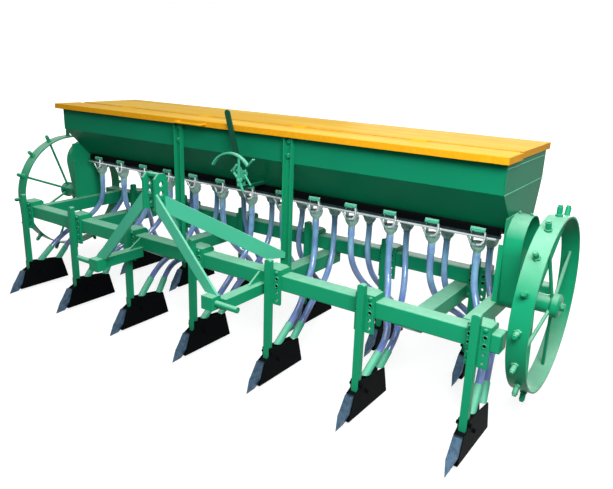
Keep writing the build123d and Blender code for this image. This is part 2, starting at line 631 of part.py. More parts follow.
def feed_unit(y, trough_z, cup_top, neck_end):
    """Feed housing under the trough, the cheek beside it, and the funnel that takes the hose."""
    top = trough_z - SEAT
    shaft_z = cup_top + SHAFT_ABOVE_CUP
    housing = box(-HOUSING_HALF, HOUSING_HALF, y - 20, y + 20, cup_top + HOUSING_ABOVE_CUP, top)
    cheek = box(HOUSING_HALF, HOUSING_HALF + CHEEK_THICK, y - 20, y + 18, cup_top - 12, top)
    outline = [(CUP_RIM, cup_top), (CUP_RIM, cup_top - 12), (CUP_NECK, cup_top - 40), (CUP_NECK, neck_end),
               (CUP_NECK - CUP_WALL, neck_end), (CUP_NECK - CUP_WALL, cup_top - 40),
               (CUP_RIM - CUP_WALL, cup_top - 12), (CUP_RIM - CUP_WALL, cup_top)]
    funnel = Pos(0, y, 0) * revolve(Plane.XZ * make_face(Polyline(*outline, close=True)), Axis.Z)
    unit = housing + cheek + funnel
    return unit - rod_x(-CUP_PITCH, CUP_PITCH, y, shaft_z, SHAFT_RADIUS + SEAT)


write("front_feeds", [Pos(x, 0, 0) * feed_unit(FRONT_CUP_Y, FRONT_TROUGH[2], FRONT_CUP_TOP, FRONT_NECK_END)
                      for x in cup_places])
write("rear_feeds", [Pos(x, 0, 0) * feed_unit(REAR_CUP_Y, REAR_TROUGH[2], REAR_CUP_TOP, REAR_NECK_END)
                     for x in cup_places])


def feed_shaft(y, cup_top):
    """Shaft that turns the feed rollers of one row, through every housing."""
    half = END_MEMBER_OUT - END_MEMBER_WIDTH
    return rod_x(-half, half, y, cup_top + SHAFT_ABOVE_CUP, SHAFT_RADIUS)


write("feed_shafts", [feed_shaft(FRONT_CUP_Y, FRONT_CUP_TOP), feed_shaft(REAR_CUP_Y, REAR_CUP_TOP)])


# ---------------------------------------------------------------- land wheels
def wheel(side):
    """Pegged rim, two rows of round spokes, hub and the shaft that turns with it."""
    rim_outer_x = RIM_INNER_X + RIM_WIDTH
    rim = extrude(Plane.YZ.offset(RIM_INNER_X) * (Circle(RIM_RADIUS) - Circle(RIM_RADIUS - RIM_WALL)), RIM_WIDTH)
    hub = extrude(Plane.YZ.offset(HUB_INNER_X) * Circle(HUB_RADIUS), HUB_OUTER_X - HUB_INNER_X)
    body = rim + hub
    middle_x = RIM_INNER_X + RIM_WIDTH / 2
    for number in range(SPOKE_COUNT):
        angle = math.radians((number + 0.5) * 360 / SPOKE_COUNT)
        hub_x = HUB_INNER_X + 14 if number % 2 else HUB_OUTER_X - 14
        start = Vector(hub_x, (HUB_RADIUS - 6) * math.cos(angle), (HUB_RADIUS - 6) * math.sin(angle))
        reach = RIM_RADIUS - RIM_WALL / 2
        end = Vector(middle_x, reach * math.cos(angle), reach * math.sin(angle))
        spoke = extrude(Plane(origin=start, z_dir=end - start) * Circle(SPOKE_RADIUS), (end - start).length)
        body += spoke
    for number in range(PEG_COUNT):
        angle = number * 360 / PEG_COUNT
        peg = rod_z(RIM_RADIUS - RIM_WALL / 2, RIM_RADIUS + PEG_LENGTH, middle_x, 0, PEG_RADIUS)
        body += Rot(angle, 0, 0) * peg
    shaft_start = END_MEMBER_OUT + 2
    shaft = extrude(Plane.YZ.offset(shaft_start) * Circle(AXLE_RADIUS), AXLE_END_X - shaft_start)
    body += shaft
    placed = Pos(0, WHEEL_Y, WHEEL_Z) * body
    return placed if side > 0 else mirror(placed, Plane.YZ)


write("right_wheel", wheel(1))
write("left_wheel", wheel(-1))


# ---------------------------------------------------------------- end supports and guards
def drop_outline(shrink):
    """Drop shape around the upper end's circle and the wheel's axis."""
    y1, z1, r1 = GUARD_TOP[0], GUARD_TOP[1], GUARD_TOP[2] - shrink
    y2, z2, r2 = WHEEL_Y, WHEEL_Z, GUARD_FOOT_RADIUS - shrink
    distance = math.hypot(y2 - y1, z2 - z1)
    base = math.atan2(z2 - z1, y2 - y1)
    spread = math.acos((r1 - r2) / distance)

    def on(y, z, r, angle):
        return (y + r * math.cos(angle), z + r * math.sin(angle))

    a1 = on(y1, z1, r1, base + spread)
    a2 = on(y2, z2, r2, base + spread)
    b1 = on(y1, z1, r1, base - spread)
    b2 = on(y2, z2, r2, base - spread)
    top = ThreePointArc(a1, on(y1, z1, r1, base + math.pi), b1)
    foot = ThreePointArc(b2, on(y2, z2, r2, base), a2)
    return make_face([top, Line(b1, b2), foot, Line(a2, a1)])


def guard(side):
    ring = drop_outline(0) - drop_outline(GUARD_SHEET)
    band = extrude(Plane.YZ.offset(END_MEMBER_OUT) * ring, GUARD_WIDTH)
    return band if side > 0 else mirror(band, Plane.YZ)


def support(side):
    """Folded channel on the end member that carries the hopper's end."""
    web_in = END_MEMBER_OUT - SUPPORT_SHEET
    web = box(web_in, END_MEMBER_OUT, SUPPORT_FRONT, SUPPORT_REAR, BAR_TOP, SUPPORT_TOP)
    flange_in = END_MEMBER_OUT - END_MEMBER_WIDTH
    body = web
    for y in (SUPPORT_FRONT, SUPPORT_REAR - SUPPORT_SHEET):
        body += box(flange_in, web_in, y, y + SUPPORT_SHEET, BAR_TOP, REAR_TROUGH[2] - 8)
    return body if side > 0 else mirror(body, Plane.YZ)


def bearing(side):
    """Round housing on the end member's outer face that carries the wheel's shaft."""
    body = rod_x(END_MEMBER_OUT + SEAT, END_MEMBER_OUT + BEARING_DEPTH, WHEEL_Y, WHEEL_Z, BEARING_RADIUS)
    body -= rod_x(END_MEMBER_OUT, END_MEMBER_OUT + BEARING_DEPTH, WHEEL_Y, WHEEL_Z, AXLE_RADIUS + BEARING_CLEARANCE)
    return body if side > 0 else mirror(body, Plane.YZ)


write("chain_guards", [guard(side) for side in ENDS])
write("end_supports", [support(side) for side in ENDS])
write("wheel_bearings", [bearing(side) for side in ENDS])


# ---------------------------------------------------------------- hoses
def corner_radii(points):
    """Radius at each inner point: 0.45 of the shorter run beside it over the tangent of half the turn."""
    radii = []
    for before, here, after in zip(points, points[1:], points[2:]):
        first = Vector(*here) - Vector(*before)
        second = Vector(*after) - Vector(*here)
        half_turn = math.radians(first.get_angle(second)) / 2
        radii.append(0.45 * min(first.length, second.length) / math.tan(half_turn))
    return radii


def hose_points(number, template, foot, mouth):
    """Route of one hose from its cup's neck to its boot tube's mouth."""
    side = -1 if number < 0 else 1
    cup_x = number * CUP_PITCH
    tine_x = number * TINE_PITCH
    lean = lean_of(number)
    face = 0.0 if number % 2 == 0 else ROW_PITCH
    points = []
    for row in template:
        if number % 2 == 0:
            x = cup_x + row[2] * (tine_x - cup_x)
        else:
            x = tine_x - side * row[2 + abs(number) // 2]
        points.append((x, row[0], row[1]))
    axis = Vector(lean, mouth[0] - foot[0], mouth[1] - foot[1])
    end = Vector(tine_x + lean, face + mouth[0], mouth[1])
    points.append(tuple(end + axis.normalized() * HOSE_END_RUN))
    points.append(tuple(end))
    return points


def hose(points):
    radii = corner_radii(points)
    path = FilletPolyline(*points, radius=radii)
    body = sweep(Plane(origin=path @ 0, z_dir=path % 0) * Circle(HOSE / 2), path)
    share = body.volume / (math.pi * HOSE ** 2 / 4 * path.length)
    print("hose length", round(path.length), "volume share", round(share, 4), "radii", [round(r) for r in radii])
    return body


HOSES = (("front_tine_front_hoses", 0, FRONT_TINE_FRONT_HOSE, FRONT_ROW_TUBES[0]),
         ("front_tine_rear_hoses", 0, FRONT_TINE_REAR_HOSE, FRONT_ROW_TUBES[1]),
         ("rear_tine_front_hoses", 1, REAR_TINE_FRONT_HOSE, REAR_ROW_TUBES[0]),
         ("rear_tine_rear_hoses", 1, REAR_TINE_REAR_HOSE, REAR_ROW_TUBES[1]))
for node, odd, template, tube in HOSES:
    write(node, [hose(hose_points(number, template, *tube)) for x, y, side, number in tines if number % 2 == odd])
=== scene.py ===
import math

import bmesh
import bpy
from mathutils import Matrix, Vector


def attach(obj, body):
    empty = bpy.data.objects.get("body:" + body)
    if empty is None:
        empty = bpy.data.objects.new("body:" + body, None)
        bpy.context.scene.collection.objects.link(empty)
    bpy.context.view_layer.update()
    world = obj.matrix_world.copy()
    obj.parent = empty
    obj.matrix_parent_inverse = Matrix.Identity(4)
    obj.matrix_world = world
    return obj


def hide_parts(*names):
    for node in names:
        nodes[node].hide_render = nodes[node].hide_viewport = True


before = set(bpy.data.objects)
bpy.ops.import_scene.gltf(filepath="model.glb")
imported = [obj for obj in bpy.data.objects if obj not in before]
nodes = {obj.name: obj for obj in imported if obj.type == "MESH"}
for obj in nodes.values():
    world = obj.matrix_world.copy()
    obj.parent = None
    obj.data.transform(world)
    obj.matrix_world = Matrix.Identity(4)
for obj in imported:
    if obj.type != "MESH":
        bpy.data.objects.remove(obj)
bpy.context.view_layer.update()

# Seed and fertiliser drill.  Sizes are in millimetres across the machine from its middle, along it
# from the front toolbar's face, and up from the ground; place() turns them into metres.
MM = 0.001
MIDDLE_Y = 237.5           # from the front toolbar's face back to the frame's origin
SIDES = (-1, 1)            # left, right
FORWARD, RIGHT, UP = (0, -1, 0), (1, 0, 0), (0, 0, 1)
BAR = 62.0                 # width of the square tubes
BAR_TOP = 448.0
BAR_BOTTOM = BAR_TOP - BAR
BAR_END = 1270.0
ROW_PITCH = 543.0          # front toolbar's face to rear toolbar's face
TOOLBAR_FACES = (0.0, ROW_PITCH)
TINE_PITCH = 200.0
CUP_PITCH = 175.0
# Tines and cups are numbered from the middle; the even tines hang on the front toolbar.
NUMBERS = range(-6, 7)
TINES = [(number, TOOLBAR_FACES[number % 2]) for number in NUMBERS]


def place(x, y, z):
    """Metres in the frame, from millimetres on the machine."""
    return Vector((x, y - MIDDLE_Y, z)) * MM


# ---------------------------------------------------------------- camera
CAMERA_AT = (1748.8, -1748.5, 1243.6)
CAMERA_TURN, CAMERA_DOWN, CAMERA_ROLL = 34.4, 17.1, 2.0
CAMERA_LENS = 36.48
FILM_WIDTH = 36.0
SEEN_FROM, SEEN_TO = 0.05, 60.0         # metres


def make_camera():
    """Camera in front of the drill's right end, looking down at it."""
    data = bpy.data.cameras.new("camera")
    data.lens = CAMERA_LENS
    data.sensor_width = FILM_WIDTH
    data.clip_start, data.clip_end = SEEN_FROM, SEEN_TO
    camera = bpy.data.objects.new("camera", data)
    bpy.context.scene.collection.objects.link(camera)
    turn, down, roll = (math.radians(a) for a in (CAMERA_TURN, CAMERA_DOWN, CAMERA_ROLL))
    look = Matrix.Rotation(turn, 4, "Z") @ Matrix.Rotation(math.pi / 2 - down, 4, "X")
    camera.matrix_world = Matrix.Translation(place(*CAMERA_AT)) @ look @ Matrix.Rotation(roll, 4, "Z")
    bpy.context.scene.camera = camera


make_camera()


# ---------------------------------------------------------------- finishes
PEEL_SCALE, PEEL_STRENGTH, PEEL_DEPTH = 380.0, 0.10, 0.0005
PAINT_EDGE, METAL_EDGE = 0.0018, 0.0012           # metres over which a cut edge looks rounded


class Tone:
    """A socket's value, on which sums can be written as Python expressions."""

    def __init__(self, finish, socket):
        self.finish = finish
        self.socket = socket

    def maths(self, operation, *values):
        return self.finish.node("ShaderNodeMath", {"operation": operation}, dict(enumerate(values)))

    def __add__(self, other):
        return self.maths("ADD", self, other)

    def __sub__(self, other):
        return self.maths("SUBTRACT", self, other)

    def __rsub__(self, other):
        return self.maths("SUBTRACT", other, self)

    def __mul__(self, other):
        return self.maths("MULTIPLY", self, other)

    def __truediv__(self, other):
        return self.maths("DIVIDE", self, other)

    __radd__ = __add__
    __rmul__ = __mul__

    def clamped(self):
        return self.maths("MINIMUM", self.maths("MAXIMUM", self, 0.0), 1.0)

    def above(self, edge, width):
        """0 below the edge, 1 a width above it, with a straight ramp between."""
        return ((self - edge) / width).clamped()


class Finish:
    """One material with its Principled shader and the nodes that drive it."""

    def __init__(self, name, **constants):
        self.material = bpy.data.materials.new(name)
        self.material.use_nodes = True
        self.tree = self.material.node_tree
        self.shader = self.tree.nodes["Principled BSDF"]
        self.output = self.tree.nodes["Material Output"]
        for socket, value in constants.items():
            self.shader.inputs[socket.replace("_", " ")].default_value = value
        self.spot = self.node("ShaderNodeTexCoord", {}, {}, "Object")

    def node(self, kind, settings, values, output=None):
        """Any node: its settings first, then its sockets by number or name, and the output that is used."""
        made = self.tree.nodes.new(kind)
        for setting, value in settings.items():
            setattr(made, setting, value)
        for key, value in values.items():
            if isinstance(key, int):
                socket = made.inputs[key]
            else:
                socket = next(s for s in made.inputs if s.enabled and s.name == key)
            if isinstance(value, Tone):
                self.tree.links.new(value.socket, socket)
            elif socket.type == "RGBA":
                socket.default_value = (*value, 1.0)
            else:
                socket.default_value = value
        if output is None:
            return Tone(self, made.outputs[0])
        return Tone(self, next(s for s in made.outputs if s.enabled and s.name == output))

    def noise(self, scale, detail=3.0, roughness=0.55, vector=None):
        return self.node("ShaderNodeTexNoise", {}, {"Vector": vector or self.spot, "Scale": scale,
                                                    "Detail": detail, "Roughness": roughness})

    def stretched(self, x, y, z):
        """Object coordinates scaled along each axis, for grain that runs one way."""
        return self.node("ShaderNodeVectorMath", {"operation": "MULTIPLY"}, {0: self.spot, 1: (x, y, z)})

    def height(self):
        return self.node("ShaderNodeSeparateXYZ", {}, {0: self.spot}, "Z")

    def upward(self):
        """1 where the surface faces up, -1 where it faces down."""
        normal = self.node("ShaderNodeNewGeometry", {}, {}, "Normal")
        return self.node("ShaderNodeSeparateXYZ", {}, {0: normal}, "Z")

    def blend(self, share, first, second):
        return self.node("ShaderNodeMix", {"data_type": "RGBA"},
                         {"Factor": share, "A": first, "B": second}, "Result")

    def bump(self, height, strength, distance, normal=None):
        values = {"Height": height, "Strength": strength, "Distance": distance}
        if normal is not None:
            values["Normal"] = normal
        return self.node("ShaderNodeBump", {}, values)

    def rounded(self, radius):
        """Normal that softens the plates' cut edges."""
        return self.node("ShaderNodeBevel", {"samples": 3}, {"Radius": radius})

    def orange_peel(self):
        """Normal of sprayed enamel: fine peel, and edges that the paint rounds off."""
        return self.bump(self.noise(PEEL_SCALE, 1.0), PEEL_STRENGTH, PEEL_DEPTH, self.rounded(PAINT_EDGE))

    def feed(self, socket, tone):
        self.tree.links.new(tone.socket, self.shader.inputs[socket])


SOIL_TOP, SOIL_RISE = 0.16, 6.0                   # metres up to the last soil, its growth per metre below
SOILED = 0.35
SOIL = (0.090, 0.075, 0.055)
# Paler green of the painted sheen on upward faces.
SHEEN_GREEN = (0.36, 0.66, 0.50)
GREEN = (0.009, 0.300, 0.140)
GREEN_SHADE = (0.007, 0.255, 0.122)
PAINT = {"Specular_IOR_Level": 0.06}


def enamel(name, colour, shade, painted_sheen, rough, soiled=SOILED, **constants):
    """Sprayed enamel: broad soft change of tone, a painted sheen that makes the upward faces paler, orange
    peel and a few fine runs.
    """
    made = Finish(name, **constants)
    broad = made.noise(1.7, 2.0)
    fine = made.noise(70.0, 2.0)
    runs = made.noise(1.0, 3.0, 0.6, made.stretched(34.0, 34.0, 3.0))
    body = made.blend(broad.above(0.3, 0.4), shade, colour)
    # Painted sheen: faces that look up are blended towards a paler colour, as if lit from above.
    up = made.upward().above(0.35, 0.5)
    body = made.blend(up * (runs * 0.3 + 0.35), body, painted_sheen)
    if soiled:
        soil = ((SOIL_TOP - made.height()) * SOIL_RISE).clamped()
        body = made.blend(soil * fine.above(0.42, 0.3) * soiled, body, SOIL)
    made.feed("Base Color", body)
    made.feed("Roughness", fine * 0.08 + runs * 0.08 + rough)
    made.feed("Normal", made.orange_peel())
    return made.material


frame_green = enamel("frame_green", GREEN, GREEN_SHADE, SHEEN_GREEN, 0.26, **PAINT)
hopper_green = enamel("hopper_green", (0.006, 0.225, 0.112), (0.005, 0.190, 0.094), SHEEN_GREEN, 0.24,
                      Specular_IOR_Level=0.015)
bright_green = enamel("bright_green", (0.080, 0.470, 0.290), (0.050, 0.390, 0.240), SHEEN_GREEN, 0.30, **PAINT)
dark_green = enamel("dark_green", (0.005, 0.075, 0.040), (0.004, 0.055, 0.030), GREEN, 0.30, **PAINT)
share_black = enamel("share_black", (0.0030, 0.0036, 0.0040), (0.002, 0.0026, 0.003), (0.008, 0.010, 0.012),
                     0.46, soiled=0.0, Specular_IOR_Level=0.012)


def lid_enamel():
    """Orange enamel on the lids: deep on the lips; the tops painted paler, as if lit from above, and streaked
    with painted glare along them.
    """
    made = Finish("lid_yellow", Specular_IOR_Level=0.02)
    glare_streaks = made.noise(1.0, 3.0, 0.55, made.stretched(0.9, 9.0, 9.0))
    fine = made.noise(60.0, 2.0)
    # Painted light: upward faces take the paler top colour with streaks of painted glare, the lips keep the
    # deep orange.
    up = made.upward().above(0.5, 0.4)
    lip = made.blend(fine.above(0.3, 0.5), (0.700, 0.300, 0.008), (0.780, 0.370, 0.011))
    top = made.blend(glare_streaks.above(0.44, 0.34), (0.640, 0.360, 0.012), (0.760, 0.500, 0.080))
    made.feed("Base Color", made.blend(up, lip, top))
    made.feed("Roughness", glare_streaks * 0.14 + fine * 0.06 + 0.36)
    made.feed("Normal", made.orange_peel())
    return made.material


lid_yellow = lid_enamel()


def bare_metal(name, colour, dark, rough):
    """Bright or soil-worn steel with scratches along it and dark pits."""
    made = Finish(name, Metallic=1.0)
    scratch = made.noise(1.0, 4.0, 0.6, made.stretched(120.0, 25.0, 25.0))
    pits = made.noise(60.0, 4.0, 0.6).above(0.45, 0.30) * 0.6
    made.feed("Base Color", made.blend(pits, colour, dark))
    made.feed("Roughness", scratch * 0.25 + pits * 0.2 + rough)
    made.feed("Normal", made.bump(scratch - pits * 0.6, 0.25, 0.0006, made.rounded(METAL_EDGE)))
    return made.material


bright_steel = bare_metal("bright_steel", (0.62, 0.66, 0.67), (0.30, 0.36, 0.36), 0.18)
worn_steel = bare_metal("worn_steel", (0.062, 0.112, 0.168), (0.008, 0.013, 0.020), 0.38)
grey_steel = bare_metal("grey_steel", (0.40, 0.52, 0.50), (0.16, 0.24, 0.24), 0.36)
dark_steel = bare_metal("dark_steel", (0.040, 0.070, 0.085), (0.012, 0.020, 0.026), 0.35)
# Painted shade: below this height a hose turns towards its deeper low colour.
HOSE_SHADE_BELOW, HOSE_SHADE_BY = 0.50, 3.2               # metres, and the change per metre below


def clear_plastic(name, colour, shade, rough, low=None):
    """Clouded see-through plastic; a hose is painted a deeper tone towards its lower end, as painted shade."""
    made = Finish(name, IOR=1.46, Subsurface_Weight=0.25, Subsurface_Radius=(0.01, 0.012, 0.02),
                  Coat_Roughness=0.08)
    clouds = made.noise(14.0, 3.0)
    tone = made.blend(clouds.above(0.35, 0.3), shade, colour)
    if low:
        # Painted shade: the lower end blends towards the low colour.
        tone = made.blend(((HOSE_SHADE_BELOW - made.height()) * HOSE_SHADE_BY).clamped() * 0.75, tone, low)
    made.feed("Base Color", tone)
    made.feed("Roughness", clouds * 0.15 + rough)
    made.feed("Coat Weight", clouds * 0.3 + 0.3)
    made.feed("Normal", made.bump(made.noise(160.0, 2.0), 0.08, 0.0005))
    return made.material


hose_blue = clear_plastic("hose_blue", (0.230, 0.450, 0.660), (0.140, 0.260, 0.500), 0.14,
                          low=(0.120, 0.150, 0.480))
cup_plastic = clear_plastic("cup_plastic", (0.340, 0.560, 0.480), (0.150, 0.320, 0.280), 0.24)


def set_finish(material, *names):
    """Give nodes that stay in sight their material."""
    for name in names:
        data = nodes[name].data
        data.materials.clear()
        data.materials.append(material)


set_finish(frame_green, "front_toolbar", "rear_toolbar", "end_members", "front_shanks", "rear_shanks",
           "front_clamps", "rear_clamps", "hitch_arms", "hitch_pins", "mast_plates", "chain_guards",
           "right_wheel", "left_wheel")
set_finish(hopper_green, "hopper_front", "hopper_rear", "hopper_ends", "hopper_partition")
set_finish(bright_green, "front_boot_tubes", "rear_boot_tubes", "mast_bars")
set_finish(dark_green, "seed_rate_lever")
set_finish(lid_yellow, "front_handle", "rear_handle", "lid_hinges")
set_finish(share_black, "front_boots", "rear_boots")
set_finish(worn_steel, "front_points", "rear_points")
set_finish(dark_steel, "feed_shafts", "wheel_bearings")


# ---------------------------------------------------------------- hoses
HOSE = 26.0
HOSE_END_RUN = 75.0        # straight run on its boot tube's axis
# Boot tubes: foot and mouth, each as place behind the toolbar's face and height.
FRONT_ROW_TUBES = (((40.0, 137.0), (112.0, 205.0)), ((146.0, 120.0), (194.0, 182.0)))
REAR_ROW_TUBES = (((95.0, 129.0), (45.0, 190.0)), ((150.0, 120.0), (110.0, 180.0)))
TUBE_LEAN = {0: 8.0, 2: 8.0, 4: 12.0, 6: -10.0, 1: -20.0, 3: -20.0, 5: -20.0}
# Points of the hoses: place along, height, and for the front tines the share of the way across from cup
# to tine, for the rear tines the distance inwards from tines 1, 3 and 5.
FRONT_TINE_FRONT_HOSE = ((358.0, 540.0, 0.0), (358.0, 458.0, 0.0), (326.0, 375.0, 0.25), (250.0, 308.0, 0.6))
FRONT_TINE_REAR_HOSE = ((508.0, 556.0, 0.0), (508.0, 470.0, 0.0), (484.0, 384.0, 0.2), (422.0, 304.0, 0.45),
                        (330.0, 262.0, 0.75))
REAR_TINE_FRONT_HOSE = ((358.0, 540.0, 25.0, 75.0, 125.0), (358.0, 460.0, 25.0, 75.0, 125.0),
                        (398.0, 386.0, 28.0, 74.0, 122.0), (462.0, 310.0, 34.0, 66.0, 110.0))
REAR_TINE_REAR_HOSE = ((508.0, 556.0, 25.0, 75.0, 125.0), (508.0, 520.0, 25.0, 75.0, 125.0),
                       (503.0, 448.0, 38.0, 76.0, 124.0), (514.0, 385.0, 46.0, 72.0, 121.0),
                       (550.0, 312.0, 50.0, 64.0, 110.0))
# Hoses: node, 0 for the even tines and 1 for the odd ones, points, boot tube.
HOSES = (("front_tine_front_hoses", 0, FRONT_TINE_FRONT_HOSE, FRONT_ROW_TUBES[0]),
         ("front_tine_rear_hoses", 0, FRONT_TINE_REAR_HOSE, FRONT_ROW_TUBES[1]),
         ("rear_tine_front_hoses", 1, REAR_TINE_FRONT_HOSE, REAR_ROW_TUBES[0]),
         ("rear_tine_rear_hoses", 1, REAR_TINE_REAR_HOSE, REAR_ROW_TUBES[1]))


def hose_points(number, face, template, foot, mouth):
    """Route of one hose, from its cup's neck to its boot tube's mouth."""
    side = -1 if number < 0 else 1
    cup_x = number * CUP_PITCH
    tine_x = number * TINE_PITCH
    lean = side * TUBE_LEAN[abs(number)]
    points = []
    for y, z, *across in template:
        if number % 2 == 0:
            x = cup_x + across[0] * (tine_x - cup_x)
        else:
            x = tine_x - side * across[abs(number) // 2]
        points.append(Vector((x, y, z)))
    axis = Vector((lean, mouth[0] - foot[0], mouth[1] - foot[1]))
    end = Vector((tine_x + lean, face + mouth[0], mouth[1]))
    points.append(end + axis.normalized() * HOSE_END_RUN)
    points.append(end)
    return [place(*p) for p in points]


def smooth_line(name, points, radius):
    """Round hose on one smooth line that the points steer."""
    data = bpy.data.curves.new(name, "CURVE")
    data.dimensions = "3D"
    data.resolution_u = 10
    data.bevel_depth = radius
    data.bevel_resolution = 5
    data.use_fill_caps = True
    spline = data.splines.new("NURBS")
    spline.points.add(len(points) - 1)
    for target, point in zip(spline.points, points):
        target.co = (*point, 1.0)
    spline.order_u = 3
    spline.use_endpoint_u = True
    made = bpy.data.objects.new(name, data)
    bpy.context.scene.collection.objects.link(made)
    return made


def length_of(line):
    """Length of the smooth line, from a copy with no thickness."""
    bare = line.copy()
    bare.data = line.data.copy()
    bare.data.bevel_depth = 0.0
    bare.data.use_fill_caps = False
    bpy.context.scene.collection.objects.link(bare)
    mesh = bpy.data.meshes.new_from_object(bare.evaluated_get(bpy.context.evaluated_depsgraph_get()))
    spots = [vertex.co for vertex in mesh.vertices]
    total = sum((spots[a] - spots[b]).length for a, b in (edge.vertices for edge in mesh.edges))
    bpy.data.objects.remove(bare)
    return total


def make_hoses():
    """26 clear hoses, two to a tine; the pieces are numbered 1 to 13 from the left."""
    for node, odd, template, tube in HOSES:
        for number, face in TINES:
            if number % 2 != odd:
                continue
            points = hose_points(number, face, template, *tube)
            hose = smooth_line(f"{node[:-1]}_{number + 7}", points, HOSE / 2 * MM)
            hose.data.materials.append(hose_blue)
            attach(hose, "frame")
            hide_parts(node)
            length_of(hose)


make_hoses()


# ---------------------------------------------------------------- shapes for trim
WASHER_RADIUS, WASHER_THICK = 0.62, 2.0           # share of the bolt head's width; millimetres
HEAD_HEIGHT, CHAMFER_HEIGHT, HEAD_TOP = 0.40, 0.10, 0.80      # shares of the head's width, and of its corner
SHARP_FROM, SOFTENED_FROM = 35.0, 40.0            # degrees between two faces


def turned(axis):
    """Turn that takes the upward axis onto another."""
    return Vector((0.0, 0.0, 1.0)).rotation_difference(Vector(axis)).to_matrix().to_4x4()


def add_bar(shape, at, axis, low, high, length, sides=20):
    """Round or many-sided bar from a point along an axis, with its radius at each end."""
    along = Vector(axis).normalized()
    middle = place(*(Vector(at) + along * (length / 2)))
    bmesh.ops.create_cone(shape, cap_ends=True, segments=sides, radius1=low * MM, radius2=high * MM,
                          depth=length * MM, matrix=Matrix.Translation(middle) @ turned(along))


def add_bolt(shape, at, axis, across):
    """Washer and a hexagon head with a chamfered top."""
    along = Vector(axis).normalized()
    washer, corner, height = across * WASHER_RADIUS, across / math.sqrt(3.0), across * HEAD_HEIGHT
    add_bar(shape, at, axis, washer, washer, WASHER_THICK, 24)
    add_bar(shape, Vector(at) + along * WASHER_THICK, axis, corner, corner, height, 6)
    add_bar(shape, Vector(at) + along * (WASHER_THICK + height), axis, corner, corner * HEAD_TOP,
            across * CHAMFER_HEIGHT, 6)


def add_solid(shape, near, far):
    """Faces of a solid between two outlines with equally many corners."""
    shape.faces.new(near)
    shape.faces.new(far[::-1])
    for step in range(len(near)):
        after = (step + 1) % len(near)
        shape.faces.new((near[step], far[step], far[after], near[after]))


def join_rings(shape, rings):
    """Faces between each two neighbouring rings of corners."""
    for first, second in rings:
        for step in range(len(first)):
            after = (step + 1) % len(first)
            shape.faces.new((first[step], first[after], second[after], second[step]))


def add_ring(shape, profile, at, axis, sides=28):
    """Turned hollow piece; its closed profile lists radius and distance along the axis."""
    turn, middle = turned(axis), place(*at)
    angles = [2 * math.pi * step / sides for step in range(sides)]
    rings = []
    for radius, along in profile:
        spots = [Vector((radius * math.cos(a), radius * math.sin(a), along)) for a in angles]
        rings.append([shape.verts.new(middle + (turn @ spot) * MM) for spot in spots])
    join_rings(shape, zip(rings, rings[1:] + rings[:1]))


def add_plate(shape, outline, low, high, across="x"):
    """Flat plate: an outline in the plane across an axis, between two places on that axis."""
    ends = []
    for level in (low, high):
        spots = [(level, a, b) if across == "x" else (a, level, b) for a, b in outline]
        ends.append([shape.verts.new(place(*spot)) for spot in spots])
    add_solid(shape, *ends)


def add_bead(shape, start, end, radius=2.6):
    """Rippled weld bead along a straight joint, thin at both ends."""
    sides, pitch, ripple, swing, thin = 8, 2.2, 0.16, 2.1, 0.35
    start, run = Vector(start), Vector(end) - Vector(start)
    count = max(4, int(run.length / pitch))
    turn = turned(run).to_3x3()
    angles = [math.pi * 2 / sides * side for side in range(sides)]
    rings = []
    for step in range(count + 1):
        middle = start + run * (step / count)
        size = radius * (1.0 + ripple * math.sin(step * swing)) * (thin if step in (0, count) else 1.0)
        spots = [middle + turn @ Vector((size * math.cos(a), size * math.sin(a), 0)) for a in angles]
        rings.append([shape.verts.new(place(*spot)) for spot in spots])
    join_rings(shape, zip(rings, rings[1:]))
    shape.faces.new(rings[0])
    shape.faces.new(rings[-1][::-1])


def rounded_outline(middle, half, corner, steps=4):
    """Square with rounded corners."""
    points = []
    for quarter, (a, b) in enumerate(((1, 1), (-1, 1), (-1, -1), (1, -1))):
        for step in range(steps + 1):
            turn = math.pi / 2 * (quarter + step / steps)
            points.append((middle[0] + a * (half - corner) + corner * math.cos(turn),
                           middle[1] + b * (half - corner) + corner * math.sin(turn)))
    return points


def dress(name, shape, material, body="frame", softened=0.8, stands_for=()):
    """Finish a piece: soft cut edges, material, the body that it rides on and the node it stands for."""
    bmesh.ops.recalc_face_normals(shape, faces=shape.faces)
    data = bpy.data.meshes.new(name)
    shape.to_mesh(data)
    shape.free()
    data.materials.append(material)
    data.polygons.foreach_set("use_smooth", [True] * len(data.polygons))
    data.set_sharp_from_angle(angle=math.radians(SHARP_FROM))
    piece = bpy.data.objects.new(name, data)
    bpy.context.scene.collection.objects.link(piece)
    if softened:
        soft = piece.modifiers.new("soft_edges", "BEVEL")
        soft.width, soft.segments = softened * MM, 2
        soft.limit_method, soft.angle_limit = "ANGLE", math.radians(SOFTENED_FROM)
        soft.harden_normals = True
    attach(piece, body)
    if stands_for:
        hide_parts(*stands_for)


# ---------------------------------------------------------------- frame trim
GAP = 0.3                  # between pieces that lie on one another
OVERLAP = 0.1              # where the plates of a folded piece run into each other
CHANNEL_SHEET = 4.0
MEMBER_FRONT, MEMBER_CUT = 4.0, 120.0             # the front ends slant back from one to the other
# Members: piece, node, place across.
MEMBERS = (("inner_member_tubes", "inner_members", 938.0), ("centre_member_tubes", "centre_members", 301.0))


def make_members():
    """Tubes under both toolbars, their front ends cut back below."""
    top, rear = BAR_BOTTOM - GAP, ROW_PITCH + BAR
    outline = ((MEMBER_FRONT, top), (MEMBER_CUT, top - BAR), (rear, top - BAR), (rear, top))
    for name, node, x in MEMBERS:
        shape = bmesh.new()
        for side in SIDES:
            add_plate(shape, outline, side * x - BAR / 2, side * x + BAR / 2)
        dress(name, shape, frame_green, softened=4.0, stands_for=(node,))


POST_X, POST_WIDTH, POST_TOP = 305.0, 41.0, 935.0
POST_FRONT, POST_BACK = 201.7, 224.7
POST_CORNER, CORNER_STEPS = 16.0, 6


